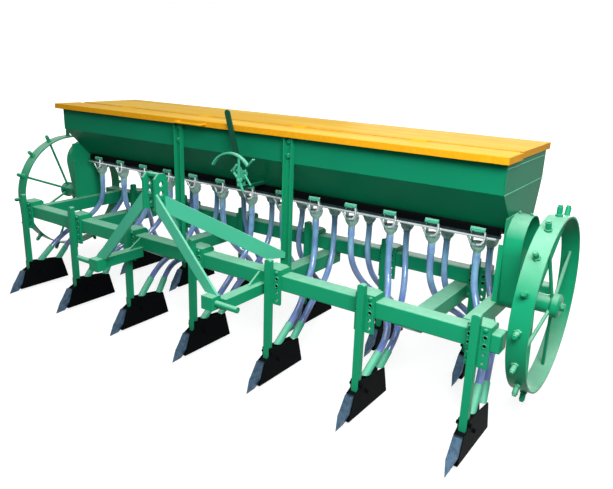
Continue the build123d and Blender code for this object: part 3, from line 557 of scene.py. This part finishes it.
def make_posts():
    """Channels in front of the hopper, open to the front, their flanges rounded off at the top."""
    shape = bmesh.new()
    half, inside = POST_WIDTH / 2, POST_BACK - CHANNEL_SHEET
    web = ((inside, BAR_BOTTOM), (inside, POST_TOP), (POST_BACK, POST_TOP), (POST_BACK, BAR_BOTTOM))
    flange = [(inside + OVERLAP, BAR_BOTTOM), (inside + OVERLAP, POST_TOP),
              (POST_FRONT + POST_CORNER, POST_TOP)]
    for step in range(1, CORNER_STEPS + 1):
        turn = math.pi / 2 * step / CORNER_STEPS
        flange.append((POST_FRONT + POST_CORNER - POST_CORNER * math.sin(turn),
                       POST_TOP - POST_CORNER + POST_CORNER * math.cos(turn)))
    flange.append((POST_FRONT, BAR_BOTTOM))
    for side in SIDES:
        x = side * POST_X
        add_plate(shape, web, x - half, x + half)
        for edge in SIDES:
            add_plate(shape, flange, x + edge * half, x + edge * (half - CHANNEL_SHEET))
    dress("post_channels", shape, frame_green, softened=1.2, stands_for=("posts",))


BRACE_HEAD = (36.0, -181.0, 684.0)                # middle of its upper end, on the mast plate
BRACE_FOOT_Z, BRACE_CUT_Z = 430.0, 438.0          # middle line at the post; level cut of the lower corner
BRACE_HALF_WIDTH, BRACE_HALF_THICK = 29.0, 5.0


def make_braces():
    """Wide flat bars on edge from the mast plates back and down to the posts' fronts."""
    shape = bmesh.new()
    head, foot = Vector(BRACE_HEAD), Vector((POST_X, POST_FRONT - GAP, BRACE_FOOT_Z))
    plan = Vector((foot.x - head.x, foot.y - head.y))
    run, fall = plan.length, (head.z - foot.z) / plan.length
    tall = BRACE_HALF_WIDTH * math.hypot(1.0, fall)
    cut = (head.z - tall - BRACE_CUT_Z) / fall
    for side in SIDES:
        faces = []
        for shift in (-BRACE_HALF_THICK, BRACE_HALF_THICK):
            # Distances along the bar in plan: its head ends on the plate, its foot on the post's front.
            near = (GAP + shift * plan.y / run) / (plan.x / run)
            far = run - shift * plan.x / plan.y
            corners = ((near, head.z - fall * near + tall), (far, head.z - fall * far + tall),
                       (far, BRACE_CUT_Z), (cut, BRACE_CUT_Z), (near, head.z - fall * near - tall))
            faces.append([shape.verts.new(place(side * (head.x + (plan.x * along - plan.y * shift) / run),
                                                head.y + (plan.y * along + plan.x * shift) / run, z))
                          for along, z in corners])
        add_solid(shape, *faces)
    dress("brace_bars", shape, bright_green, softened=1.0, stands_for=("mast_braces",))


SUPPORT_Y = (266.0, 424.0)
SUPPORT_X, SUPPORT_FLANGE_X = 1164.0, 1150.0      # the web's inner face, and the flanges' inner edges
SUPPORT_TOP, SUPPORT_FLANGE_TOP = 742.0, 652.0


def make_end_supports():
    """Folded channels with narrow flanges that carry the hopper's ends on the end members."""
    shape = bmesh.new()
    front, rear = SUPPORT_Y
    web = ((front, BAR_TOP), (rear, BAR_TOP), (rear, SUPPORT_TOP), (front, SUPPORT_TOP))
    for side in SIDES:
        add_plate(shape, web, side * SUPPORT_X, side * (SUPPORT_X + CHANNEL_SHEET))
        for y in (front, rear - CHANNEL_SHEET):
            flange = ((y, BAR_TOP), (y + CHANNEL_SHEET, BAR_TOP),
                      (y + CHANNEL_SHEET, SUPPORT_FLANGE_TOP), (y, SUPPORT_FLANGE_TOP))
            add_plate(shape, flange, side * SUPPORT_FLANGE_X, side * (SUPPORT_X + OVERLAP))
    dress("end_support_channels", shape, frame_green, softened=0.8, stands_for=("end_supports",))


CAP_INSET, CAP_CORNER = 0.5, 6.0                  # from the tube's edges
CAP_DEPTH, CAP_PROUD = 1.0, 3.0                   # inside and outside the tube's end


def make_end_caps():
    """Plates that close the toolbars' ends."""
    shape = bmesh.new()
    for face in TOOLBAR_FACES:
        for side in SIDES:
            outline = rounded_outline((face + BAR / 2, BAR_BOTTOM + BAR / 2), BAR / 2 - CAP_INSET, CAP_CORNER)
            add_plate(shape, outline, side * (BAR_END - CAP_DEPTH), side * (BAR_END + CAP_PROUD))
    dress("toolbar_end_caps", shape, frame_green)


BEAD_SUNK = 0.2                                   # a bead's middle line lies inside the corner by this
END_MEMBER_BEAD = (1130.0, 1166.0)                # across, on top of the toolbars
MEMBER_BEAD = (10.0, 52.0)                        # behind each toolbar's face
POST_BEAD_HALF = 22.0
ARM_TOP, ARM_BEAD, ARM_BEAD_Y = 400.0, (324.0, 364.0), -0.5
GUSSET_FACES, GUSSET_BEAD, GUSSET_BEAD_RADIUS = (334.0, 342.0), (-66.0, -4.0), 2.0


def make_welds():
    """Weld beads where the members, posts, arms and gussets meet the toolbars and one another."""
    shape = bmesh.new()
    under = BAR_BOTTOM - BEAD_SUNK
    for side in SIDES:
        for y in (BAR, ROW_PITCH):
            add_bead(shape, *((side * x, y, BAR_TOP) for x in END_MEMBER_BEAD))
        for _, _, x in MEMBERS:
            for face in TOOLBAR_FACES:
                for edge in SIDES:
                    add_bead(shape, *((side * x + edge * BAR / 2, face + y, under) for y in MEMBER_BEAD))
        add_bead(shape, *((side * (POST_X + x), POST_FRONT, under) for x in (-POST_BEAD_HALF, POST_BEAD_HALF)))
        add_bead(shape, *((side * x, ARM_BEAD_Y, ARM_TOP) for x in ARM_BEAD))
        for x in GUSSET_FACES:
            add_bead(shape, *((side * x, y, ARM_TOP + BEAD_SUNK) for y in GUSSET_BEAD), GUSSET_BEAD_RADIUS)
    dress("weld_beads", shape, frame_green, softened=0.0)


POST_BOLT, POST_BOLT_DEPTH, POST_BOLT_HEIGHTS = 17.0, 18.0, (912.0, 856.0)
GUARD_BOLT, GUARD_BOLT_X, GUARD_BOLT_Y, GUARD_TOP = 10.0, (1178.0, 1218.0), 372.0, 744.0
TURNED_CLAMPS = (-5, -3, -2, -1)                  # tines whose clamp has its wide side on the left
CLAMP_NARROW, CLAMP_WIDE = 21.75, 29.25           # from the shank's middle to the two columns of holes
CLAMP_PLATE = 10.0                                # its face in front of the toolbar's
CLAMP_BOLT, CLAMP_BOLT_Z = 11.0, BAR_TOP + 11.0
CLAMP_HOLES_Z = (BAR_TOP - 14.0, BAR_TOP - 42.0)
CLAMP_RING = ((5.6, 0.0), (8.6, 0.0), (8.6, 2.0), (7.8, 3.0), (6.4, 3.0), (5.6, 2.2))
# Black discs inside the clamps' hole rings: painted shade that stands for the holes' dark inside.
HOLE_SHADE_RADIUS, HOLE_SHADE_THICK, HOLE_SHADE_SUNK = 5.8, 0.9, 0.1
SHANK_TOP, SHANK_TOP_HALF, SHANK_TOP_RISE, ARC_STEPS = 501.8, 13.4, 7.0, 12
SHANK_FRONT, SHANK_BACK = 31.9, 10.1              # in front of the toolbar's face
BOOT_BOLT, BOOT_SIDE, BOOT_BOLTS = 13.0, 17.5, ((-20.0, 128.0), (30.0, 84.0))


def make_frame_bolts():
    """Bolts of the posts, the clamps, the boots and the drive guards, black discs of painted shade in the
    clamps' holes, and the shanks' rounded tops.
    """
    posts, clamps, boots, guards, tops, hole_shades = (bmesh.new() for _ in range(6))
    for side in SIDES:
        for height in POST_BOLT_HEIGHTS:
            add_bolt(posts, (side * POST_X, POST_FRONT + POST_BOLT_DEPTH, height), FORWARD, POST_BOLT)
        for x in GUARD_BOLT_X:
            add_bolt(guards, (side * x, GUARD_BOLT_Y, GUARD_TOP), UP, GUARD_BOLT)
    for number, face in TINES:
        tine_x, front = number * TINE_PITCH, face - CLAMP_PLATE
        wide = -1 if number in TURNED_CLAMPS else 1
        for column in (-CLAMP_NARROW * wide, CLAMP_WIDE * wide):
            x = tine_x + column
            add_bolt(clamps, (x, front, CLAMP_BOLT_Z), FORWARD, CLAMP_BOLT)
            for height in CLAMP_HOLES_Z:
                add_ring(clamps, CLAMP_RING, (x, front, height), FORWARD)
                # Black disc of painted shade where the hole's inside would be dark.
                add_bar(hole_shades, (x, front + HOLE_SHADE_SUNK, height), FORWARD, HOLE_SHADE_RADIUS, HOLE_SHADE_RADIUS,
                        HOLE_SHADE_THICK, 24)
        turns = [math.pi * step / ARC_STEPS for step in range(ARC_STEPS + 1)]
        arc = [(tine_x + SHANK_TOP_HALF * math.cos(turn), SHANK_TOP + SHANK_TOP_RISE * math.sin(turn))
               for turn in turns]
        add_plate(tops, arc, face - SHANK_FRONT, face - SHANK_BACK, "y")
        for side in SIDES:
            for y, height in BOOT_BOLTS:
                add_bolt(boots, (tine_x + side * BOOT_SIDE, face + y, height), (side, 0, 0), BOOT_BOLT)
    dress("post_bolts", posts, frame_green, softened=0.4)
    dress("clamp_bolts", clamps, frame_green, softened=0.3)
    dress("clamp_hole_shades", hole_shades, share_black, softened=0.0)
    dress("shank_tops", tops, frame_green, softened=0.6)
    dress("boot_bolts", boots, share_black, softened=0.4)
    dress("guard_bolts", guards, frame_green, softened=0.3)


# ---------------------------------------------------------------- hopper trim
SEAM_Z, SEAM_WIDTH = (824.0, 910.0), 4.0
SEAM_Y, SEAM_X = (227.0, 672.0), (1159.8, 1162.4)


def make_hopper_seams():
    """Folded seams across each end plate: at the height where the walls bend, and below the lids, in the paler
    green as painted highlights along the folds.
    """
    shape = bmesh.new()
    front, rear = SEAM_Y
    inner, outer = SEAM_X
    for low in SEAM_Z:
        outline = ((front, low), (rear, low), (rear, low + SEAM_WIDTH), (front, low + SEAM_WIDTH))
        for side in SIDES:
            add_plate(shape, outline, side * inner, side * outer)
    # The paler green is a painted highlight along each fold.
    dress("hopper_end_seams", shape, bright_green, softened=0.6)


HOPPER_TOP, HINGE_Z = 952.0, 953.8
KNUCKLE, KNUCKLE_PITCH = 60.0, 530.0
KNUCKLES = [(number - 1.5) * KNUCKLE_PITCH for number in range(4)]
KNUCKLE_PROFILE = ((5.5, 0.0), (5.5, KNUCKLE), (3.3, KNUCKLE), (3.3, 0.0))
STRAP_FROM, SHEET_FROM = 4.2, 6.0                 # from the hinge line to the knuckles' straps and the tray
LID_SHEET, LID_LIP = 3.0, 24.0
# Lids: body and node, which way it lies from its hinge, hinge line, lip's face, half length.
LIDS = (("front_lid", -1, 341.0, 187.0, 1174.0), ("rear_lid", 1, 359.0, 704.0, 1166.0))


def make_lids():
    """Folded sheet lids: a tray with lips on three sides, and knuckles on the hinge's side."""
    under = HOPPER_TOP + GAP
    top = under + LID_SHEET
    lip = top - LID_LIP
    for name, side, hinge, edge, half in LIDS:
        shape = bmesh.new()
        near, inner = hinge + side * SHEET_FROM, edge - side * LID_SHEET
        tray = ((-half, lip), (-half, top), (half, top), (half, lip), (half - LID_SHEET, lip),
                (half - LID_SHEET, under), (LID_SHEET - half, under), (LID_SHEET - half, lip))
        add_plate(shape, tray, *sorted((near, inner)), "y")
        add_plate(shape, ((-half, lip), (half, lip), (half, top), (-half, top)), *sorted((inner, edge)), "y")
        for x in KNUCKLES:
            left, right = x - KNUCKLE / 2, x + KNUCKLE / 2
            add_ring(shape, KNUCKLE_PROFILE, (left, hinge, HINGE_Z), RIGHT)
            strap = ((left, under), (right, under), (right, top), (left, top))
            add_plate(shape, strap, *sorted((hinge + side * STRAP_FROM, near)), "y")
        dress(f"{name}_tray", shape, lid_yellow, name, softened=0.5, stands_for=(name,))


# ---------------------------------------------------------------- wheel trim
WHEEL_Y, WHEEL_Z = 343.0, 457.0
# Hub cap, outwards: place across, radius at its start and end, length.
HUB_CAP = ((1330.0, 36.0, 41.0, 6.0), (1336.0, 41.0, 41.0, 20.0), (1356.0, 41.0, 33.0, 6.0))
HUB_NUT, HUB_NUT_X = 24.0, 1361.5
PEGS, PEG_X, PEG_FROM = 16, 1311.0, 305.5
PEG_NUT_RADIUS, PEG_NUT, PEG_SLEEVE_RADIUS, PEG_SLEEVE = 13.0, 8.0, 9.5, 25.0


def make_wheel_trim():
    """Rounded cap and nut on each hub, and a nut and sleeve round the foot of each peg."""
    for side, body in ((1, "right_wheel"), (-1, "left_wheel")):
        shape = bmesh.new()
        across = (side, 0, 0)
        for start, low, high, length in HUB_CAP:
            add_bar(shape, (side * start, WHEEL_Y, WHEEL_Z), across, low, high, length, 40)
        add_bolt(shape, (side * HUB_NUT_X, WHEEL_Y, WHEEL_Z), across, HUB_NUT)
        for number in range(PEGS):
            turn = math.radians(number * 360.0 / PEGS)
            out = Vector((0.0, -math.sin(turn), math.cos(turn)))
            foot = Vector((side * PEG_X, WHEEL_Y, WHEEL_Z)) + out * PEG_FROM
            add_bar(shape, foot, out, PEG_NUT_RADIUS, PEG_NUT_RADIUS, PEG_NUT, 6)
            add_bar(shape, foot + out * PEG_NUT, out, PEG_SLEEVE_RADIUS, PEG_SLEEVE_RADIUS, PEG_SLEEVE, 16)
        dress(f"{body}_trim", shape, frame_green, body, softened=0.7)


# ---------------------------------------------------------------- feeds
# Rows: name, place along, the hopper's trough above, the cups' rims, the mouths of their necks.
FEED_ROWS = (("front", 358.0, 683.0, 618.0, 540.0), ("rear", 508.0, 660.0, 598.0, 556.0))
SHAFT_ABOVE = 34.0         # above the cups' rims
THROAT_BELOW, NECK_LENGTH = 40.0, 14.0
ROLLER_RADIUS, ROLLER = 17.5, 36.0
PINS, PIN_CIRCLE, PIN_RADIUS, PIN = 12, 12, 2.6, 30
# Outlines of the boxes and rails: from the cups' middle line, and from the trough.
BOX_OUTLINE, BOX_HALF = ((-21, -22), (19, -22), (19, -5), (-15, -5), (-21, -11)), 27
BOX_BOLT, BOX_BOLT_X, BOX_BOLT_Y, BOX_BOLT_Z = 7.0, (-17, 17), -21, -16
RAIL_OUTLINE, RAIL_END = ((-15, -24), (15, -24), (15, -1), (-15, -1)), 1126.0
CHEEK_X, YOKE_BOLT = (21.5, 25.0), 13.0
YOKE_ARM_FROM, YOKE_ARM, YOKE_ARM_RADIUS = (20, -16, -6), (15.0, -6.0, 34.0), 4.6


def add_cup(cups, x, y, cup, throat, neck):
    """Funnel: down its outside from the rim to the neck's mouth, and up again inside."""
    add_ring(cups, ((29.5, cup), (29.5, cup - 5), (28.0, cup - 7), (27.0, cup - 15), (22.5, cup - 24),
                    (16.0, cup - 31), (13.0, throat), (12.4, neck + 1), (11.0, neck + 1), (11.0, throat),
                    (20.0, cup - 23), (24.5, cup - 14), (26.5, cup)), (x, y, 0), UP)
    # Pins on the shaft, inside the roller.
    for step in range(PINS):
        turn = math.radians(step * 360 / PINS)
        pin = (x - PIN / 2, y + PIN_CIRCLE * math.cos(turn), cup + SHAFT_ABOVE + PIN_CIRCLE * math.sin(turn))
        add_bar(cups, pin, RIGHT, PIN_RADIUS, PIN_RADIUS, PIN, 8)


def add_box(boxes, x, y, trough):
    """Box under the trough, with two bolts in its front."""
    add_plate(boxes, [(y + a, trough + b) for a, b in BOX_OUTLINE], x - BOX_HALF, x + BOX_HALF)
    for bolt_x in BOX_BOLT_X:
        add_bolt(boxes, (x + bolt_x, y + BOX_BOLT_Y, trough + BOX_BOLT_Z), FORWARD, BOX_BOLT)


def add_yoke(yokes, x, y, trough, cup):
    """Two cheeks that carry the shaft, each with an arm up to the box, and the shaft's bolt."""
    shaft = cup + SHAFT_ABOVE
    cheek = ((y - 14, trough - 2), (y + 14, trough - 2), (y + 15, shaft), (y + 9, cup - 4),
             (y - 9, cup - 4), (y - 15, shaft))
    inner, outer = CHEEK_X
    from_x, from_y, from_z = YOKE_ARM_FROM
    for side in SIDES:
        add_plate(yokes, cheek, x + side * inner, x + side * outer)
        arm = Vector((side * YOKE_ARM[0], *YOKE_ARM[1:]))
        add_bar(yokes, (x + side * from_x, y + from_y, cup + from_z), arm, YOKE_ARM_RADIUS, YOKE_ARM_RADIUS,
                arm.length, 10)
    add_bolt(yokes, (x + outer, y, shaft), RIGHT, YOKE_BOLT)


def make_feeds():
    """Each cup with its roller between two cheeks, the green box above and the yoke that carries it."""
    rails = bmesh.new()
    for row, y, trough, cup, neck in FEED_ROWS:
        cups, boxes, yokes, collars, rollers = (bmesh.new() for _ in range(5))
        throat = max(cup - THROAT_BELOW, neck + NECK_LENGTH)
        add_plate(rails, [(y + a, trough + b) for a, b in RAIL_OUTLINE], -RAIL_END, RAIL_END)
        for number in NUMBERS:
            x = number * CUP_PITCH
            add_cup(cups, x, y, cup, throat, neck)
            add_box(boxes, x, y, trough)
            add_yoke(yokes, x, y, trough, cup)
            add_ring(collars, ((14.6, throat - 1), (14.6, neck + 1), (13.2, neck), (12.5, neck),
                               (12.5, throat - 1)), (x, y, 0), UP)
            add_bar(rollers, (x - ROLLER / 2, y, cup + SHAFT_ABOVE), RIGHT, ROLLER_RADIUS, ROLLER_RADIUS,
                    ROLLER, 28)
        dress(f"{row}_feed_boxes", boxes, bright_green, softened=0.8)
        dress(f"{row}_hose_collars", collars, hose_blue, softened=0.3)
        dress(f"{row}_feed_rollers", rollers, dark_steel, softened=1.2)
        dress(f"{row}_feed_yokes", yokes, grey_steel, softened=0.6)
        dress(f"{row}_feed_cups", cups, cup_plastic, softened=0.5, stands_for=(f"{row}_feeds",))
    dress("feed_slide_rails", rails, share_black, softened=1.5)


ROD_Y, ROD_Z, ROD_END, ROD_RADIUS = 331, 648, 1120, 5.5
COLLAR_X, COLLAR_RADIUS, COLLAR = 26, 8.5, 13
FINGER_Y, FINGER_RADIUS = 324.0, 5.2
FINGER = ((33, 668), (34, 650), (31, 634), (23, 623), (8, 619))       # from the cup's middle, height


def make_control_rod():
    """Bright rod in front of the feeds, with a collar and a hooked finger at each cup."""
    rod = bmesh.new()
    add_bar(rod, (-ROD_END, ROD_Y, ROD_Z), RIGHT, ROD_RADIUS, ROD_RADIUS, 2 * ROD_END, 16)
    for number in NUMBERS:
        x = number * CUP_PITCH
        finger = [Vector((x + a, FINGER_Y, z)) for a, z in FINGER]
        for start, end in zip(finger, finger[1:]):
            add_bar(rod, start, end - start, FINGER_RADIUS, FINGER_RADIUS, (end - start).length, 12)
            bmesh.ops.create_icosphere(rod, subdivisions=2, radius=FINGER_RADIUS * MM,
                                       matrix=Matrix.Translation(place(*end)))
        add_bar(rod, (x + COLLAR_X, ROD_Y, ROD_Z), RIGHT, COLLAR_RADIUS, COLLAR_RADIUS, COLLAR, 16)
    dress("feed_control_rod", rod, bright_steel, softened=0.4)


# ---------------------------------------------------------------- quadrant
PIVOT_X, PIVOT_Z = 100.0, 737.0
ARC_X, ARC_Z, ARC_RADIUS, ARC_HALF_WIDTH = 55.2, 728.6, 115.0, 4
ARC_FROM, ARC_STEP, ARC_COUNT = 150.6, 4.6, 25    # degrees
STRAP_TIP = ((171.0, 834.0), (176.0, 830.0), (143.0, 798.5))
STRAP_Y = (150.0, 166.0)
UPRIGHT, UPRIGHT_Y = ((93, 713), (109, 713), (106, 833), (97, 833)), (150.0, 155.0)
ARM, ARM_X = ((155.2, 701.0), (332.0, 701.0), (322.0, 713.0), (155.2, 713.0)), (92.0, 108.0)
CATCH = ((72, 748), (84, 738), (124, 742), (134, 764), (124, 786), (106, 778), (96, 792), (78, 784))
CATCH_Y = (167.0, 171.0)
CATCH_BOLT, CATCH_BOLTS = 11.0, ((82, 776), (124, 776), (120, 752), (80, 754))
# Rod on the catch: where it starts, its direction, radius at each end and length.
CATCH_ROD_AT, CATCH_ROD_RUN, CATCH_ROD = (124, 162, 764), (0.62, 0, -0.78), (5.0, 4.0, 52.0)
FOOT_PLATE, FOOT_PLATE_Y = ((88, 713), (112, 713), (112, 749), (88, 749)), (177.0, 183.0)
PIVOT_RADIUS, PIVOT_REAR, PIVOT = 6.0, 183, 24.0
PIVOT_BOLT, PIVOT_BOLT_Y = 19.0, 160
# Links: place across and height of each one's start and end.
LINKS = (((62, 770), (100, 737)), ((100, 737), (118, 694)), ((62, 770), (84, 800)))
LINK_Y, LINK_RADIUS = 159, 5.5
BOSS_REAR, BOSS_RADIUS, BOSS = 166, 10.0, 13.0
LINK_BOLT, LINK_BOLT_Y = 11.0, 153


def make_quadrant():
    """Curved strap on an upright arm, with the lever's pivot and its short links."""
    strap, arm, links = (bmesh.new() for _ in range(3))
    turns = [math.radians(ARC_FROM - step * ARC_STEP) for step in range(ARC_COUNT)]
    outer, inner = ([(ARC_X + radius * math.cos(turn), ARC_Z + radius * math.sin(turn)) for turn in turns]
                    for radius in (ARC_RADIUS + ARC_HALF_WIDTH, ARC_RADIUS - ARC_HALF_WIDTH))
    add_plate(strap, (*outer, *STRAP_TIP, *inner[::-1]), *STRAP_Y, "y")
    add_plate(strap, UPRIGHT, *UPRIGHT_Y, "y")
    add_plate(strap, FOOT_PLATE, *FOOT_PLATE_Y, "y")
    add_bar(strap, (PIVOT_X, PIVOT_REAR, PIVOT_Z), FORWARD, PIVOT_RADIUS, PIVOT_RADIUS, PIVOT)
    add_plate(arm, ARM, *ARM_X)
    add_plate(links, CATCH, *CATCH_Y, "y")
    for x, z in CATCH_BOLTS:
        add_bolt(links, (x, CATCH_Y[0], z), FORWARD, CATCH_BOLT)
    add_bar(links, CATCH_ROD_AT, CATCH_ROD_RUN, *CATCH_ROD, 12)
    add_bolt(links, (PIVOT_X, PIVOT_BOLT_Y, PIVOT_Z), FORWARD, PIVOT_BOLT)
    for (x, z), (end_x, end_z) in LINKS:
        run = Vector((end_x - x, 0.0, end_z - z))
        add_bar(links, (x, LINK_Y, z), run, LINK_RADIUS, LINK_RADIUS, run.length, 12)
        add_bar(links, (x, BOSS_REAR, z), FORWARD, BOSS_RADIUS, BOSS_RADIUS, BOSS, 16)
        add_bolt(links, (x, LINK_BOLT_Y, z), FORWARD, LINK_BOLT)
    dress("quadrant_arm", arm, dark_green, softened=0.8, stands_for=("lever_quadrant",))
    dress("quadrant_strap", strap, bright_green, softened=0.8, stands_for=("lever_quadrant",))
    dress("lever_links", links, bright_green, softened=0.5)


make_members()
make_posts()
make_braces()
make_end_supports()
make_end_caps()
make_welds()
make_frame_bolts()
make_hopper_seams()
make_lids()
make_wheel_trim()
make_feeds()
make_control_rod()
make_quadrant()


# ---------------------------------------------------------------- floor and light
AMBIENT = 0.09
FLOOR_HALF, FLOOR_Z = 14.0, -0.001                # metres
FADE_FROM, FADE_OVER = 1.6, 1.4                   # metres from the middle, where the floor turns plain white
FLOOR_SHADE, FLOOR_SEEN = (0.16, 0.17, 0.16), (0.80, 0.80, 0.80)
FLOOR_GLOW = 1.36
GLOW_NEAR = 0.6                                   # share of the glow in the floor's middle
# Soft lamps: name, place, what they face, width and height in metres, watts.
LAMPS = (("key_lamp", (2000, -1550, 2250), (500, 200, 500), 1.5, 1.1, 112.0),
         ("top_lamp", (300, -300, 4000), (0, 300, 500), 3.6, 2.4, 93.0),
         ("left_lamp", (-1600, -3400, 1000), (-500, 0, 400), 2.0, 1.2, 6.0),
         ("back_lamp", (-300, 4400, 700), (0, 400, 500), 3.0, 1.2, 120.0))


def seen_rays(made):
    """1 for rays from the camera, reflected or let through, which see the plain white."""
    camera, glossy, through = (made.node("ShaderNodeLightPath", {}, {}, f"Is {kind} Ray")
                               for kind in ("Camera", "Glossy", "Transmission"))
    return (camera + glossy + through).clamped()


def make_stage():
    """Pale floor that keeps the drill's shadow and fades into the white surroundings."""
    mesh = bpy.data.meshes.new("floor")
    corners = [(a * FLOOR_HALF, b * FLOOR_HALF, FLOOR_Z) for a, b in ((-1, -1), (1, -1), (1, 1), (-1, 1))]
    mesh.from_pydata(corners, [], [(0, 1, 2, 3)])
    floor = bpy.data.objects.new("floor", mesh)
    bpy.context.scene.collection.objects.link(floor)
    made = Finish("floor", Specular_IOR_Level=0.0)
    shown = seen_rays(made)
    made.feed("Base Color", made.blend(shown, FLOOR_SHADE, FLOOR_SEEN))
    made.feed("Roughness", made.noise(3.0, 3.0) * 0.02 + 0.85)
    away = made.node("ShaderNodeVectorMath", {"operation": "LENGTH"}, {0: made.spot}, "Value")
    share = shown * (away.above(FADE_FROM, FADE_OVER) * (1.0 - GLOW_NEAR) + GLOW_NEAR)
    glow = made.node("ShaderNodeEmission", {}, {"Color": (1.0, 1.0, 1.0), "Strength": FLOOR_GLOW})
    mixed = made.node("ShaderNodeMixShader", {}, {0: share, 1: Tone(made, made.shader.outputs[0]), 2: glow})
    made.tree.links.new(mixed.socket, made.output.inputs[0])
    floor.data.materials.append(made.material)


class Sky(Finish):
    """The white surroundings, plainer for the light that they give than for what sees them."""

    def __init__(self):
        world = bpy.data.worlds.new("studio")
        bpy.context.scene.world = world
        world.use_nodes = True
        self.tree = world.node_tree
        level = seen_rays(self) * (1.0 - AMBIENT) + AMBIENT
        back = self.tree.nodes["Background"]
        back.inputs["Color"].default_value = (1.0, 1.0, 1.0, 1.0)
        self.tree.links.new(level.socket, back.inputs["Strength"])


def make_lamps():
    """Soft rectangular lamps, each turned to what it faces."""
    for name, at, aim, width, height, watts in LAMPS:
        data = bpy.data.lights.new(name, "AREA")
        data.shape = "RECTANGLE"
        data.size, data.size_y = width, height
        data.energy = watts
        lamp = bpy.data.objects.new(name, data)
        lamp.location = place(*at)
        lamp.rotation_mode = "QUATERNION"
        lamp.rotation_quaternion = (place(*aim) - place(*at)).to_track_quat("-Z", "Y")
        bpy.context.scene.collection.objects.link(lamp)


make_stage()
Sky()
make_lamps()
bpy.context.scene.view_settings.view_transform = "Standard"
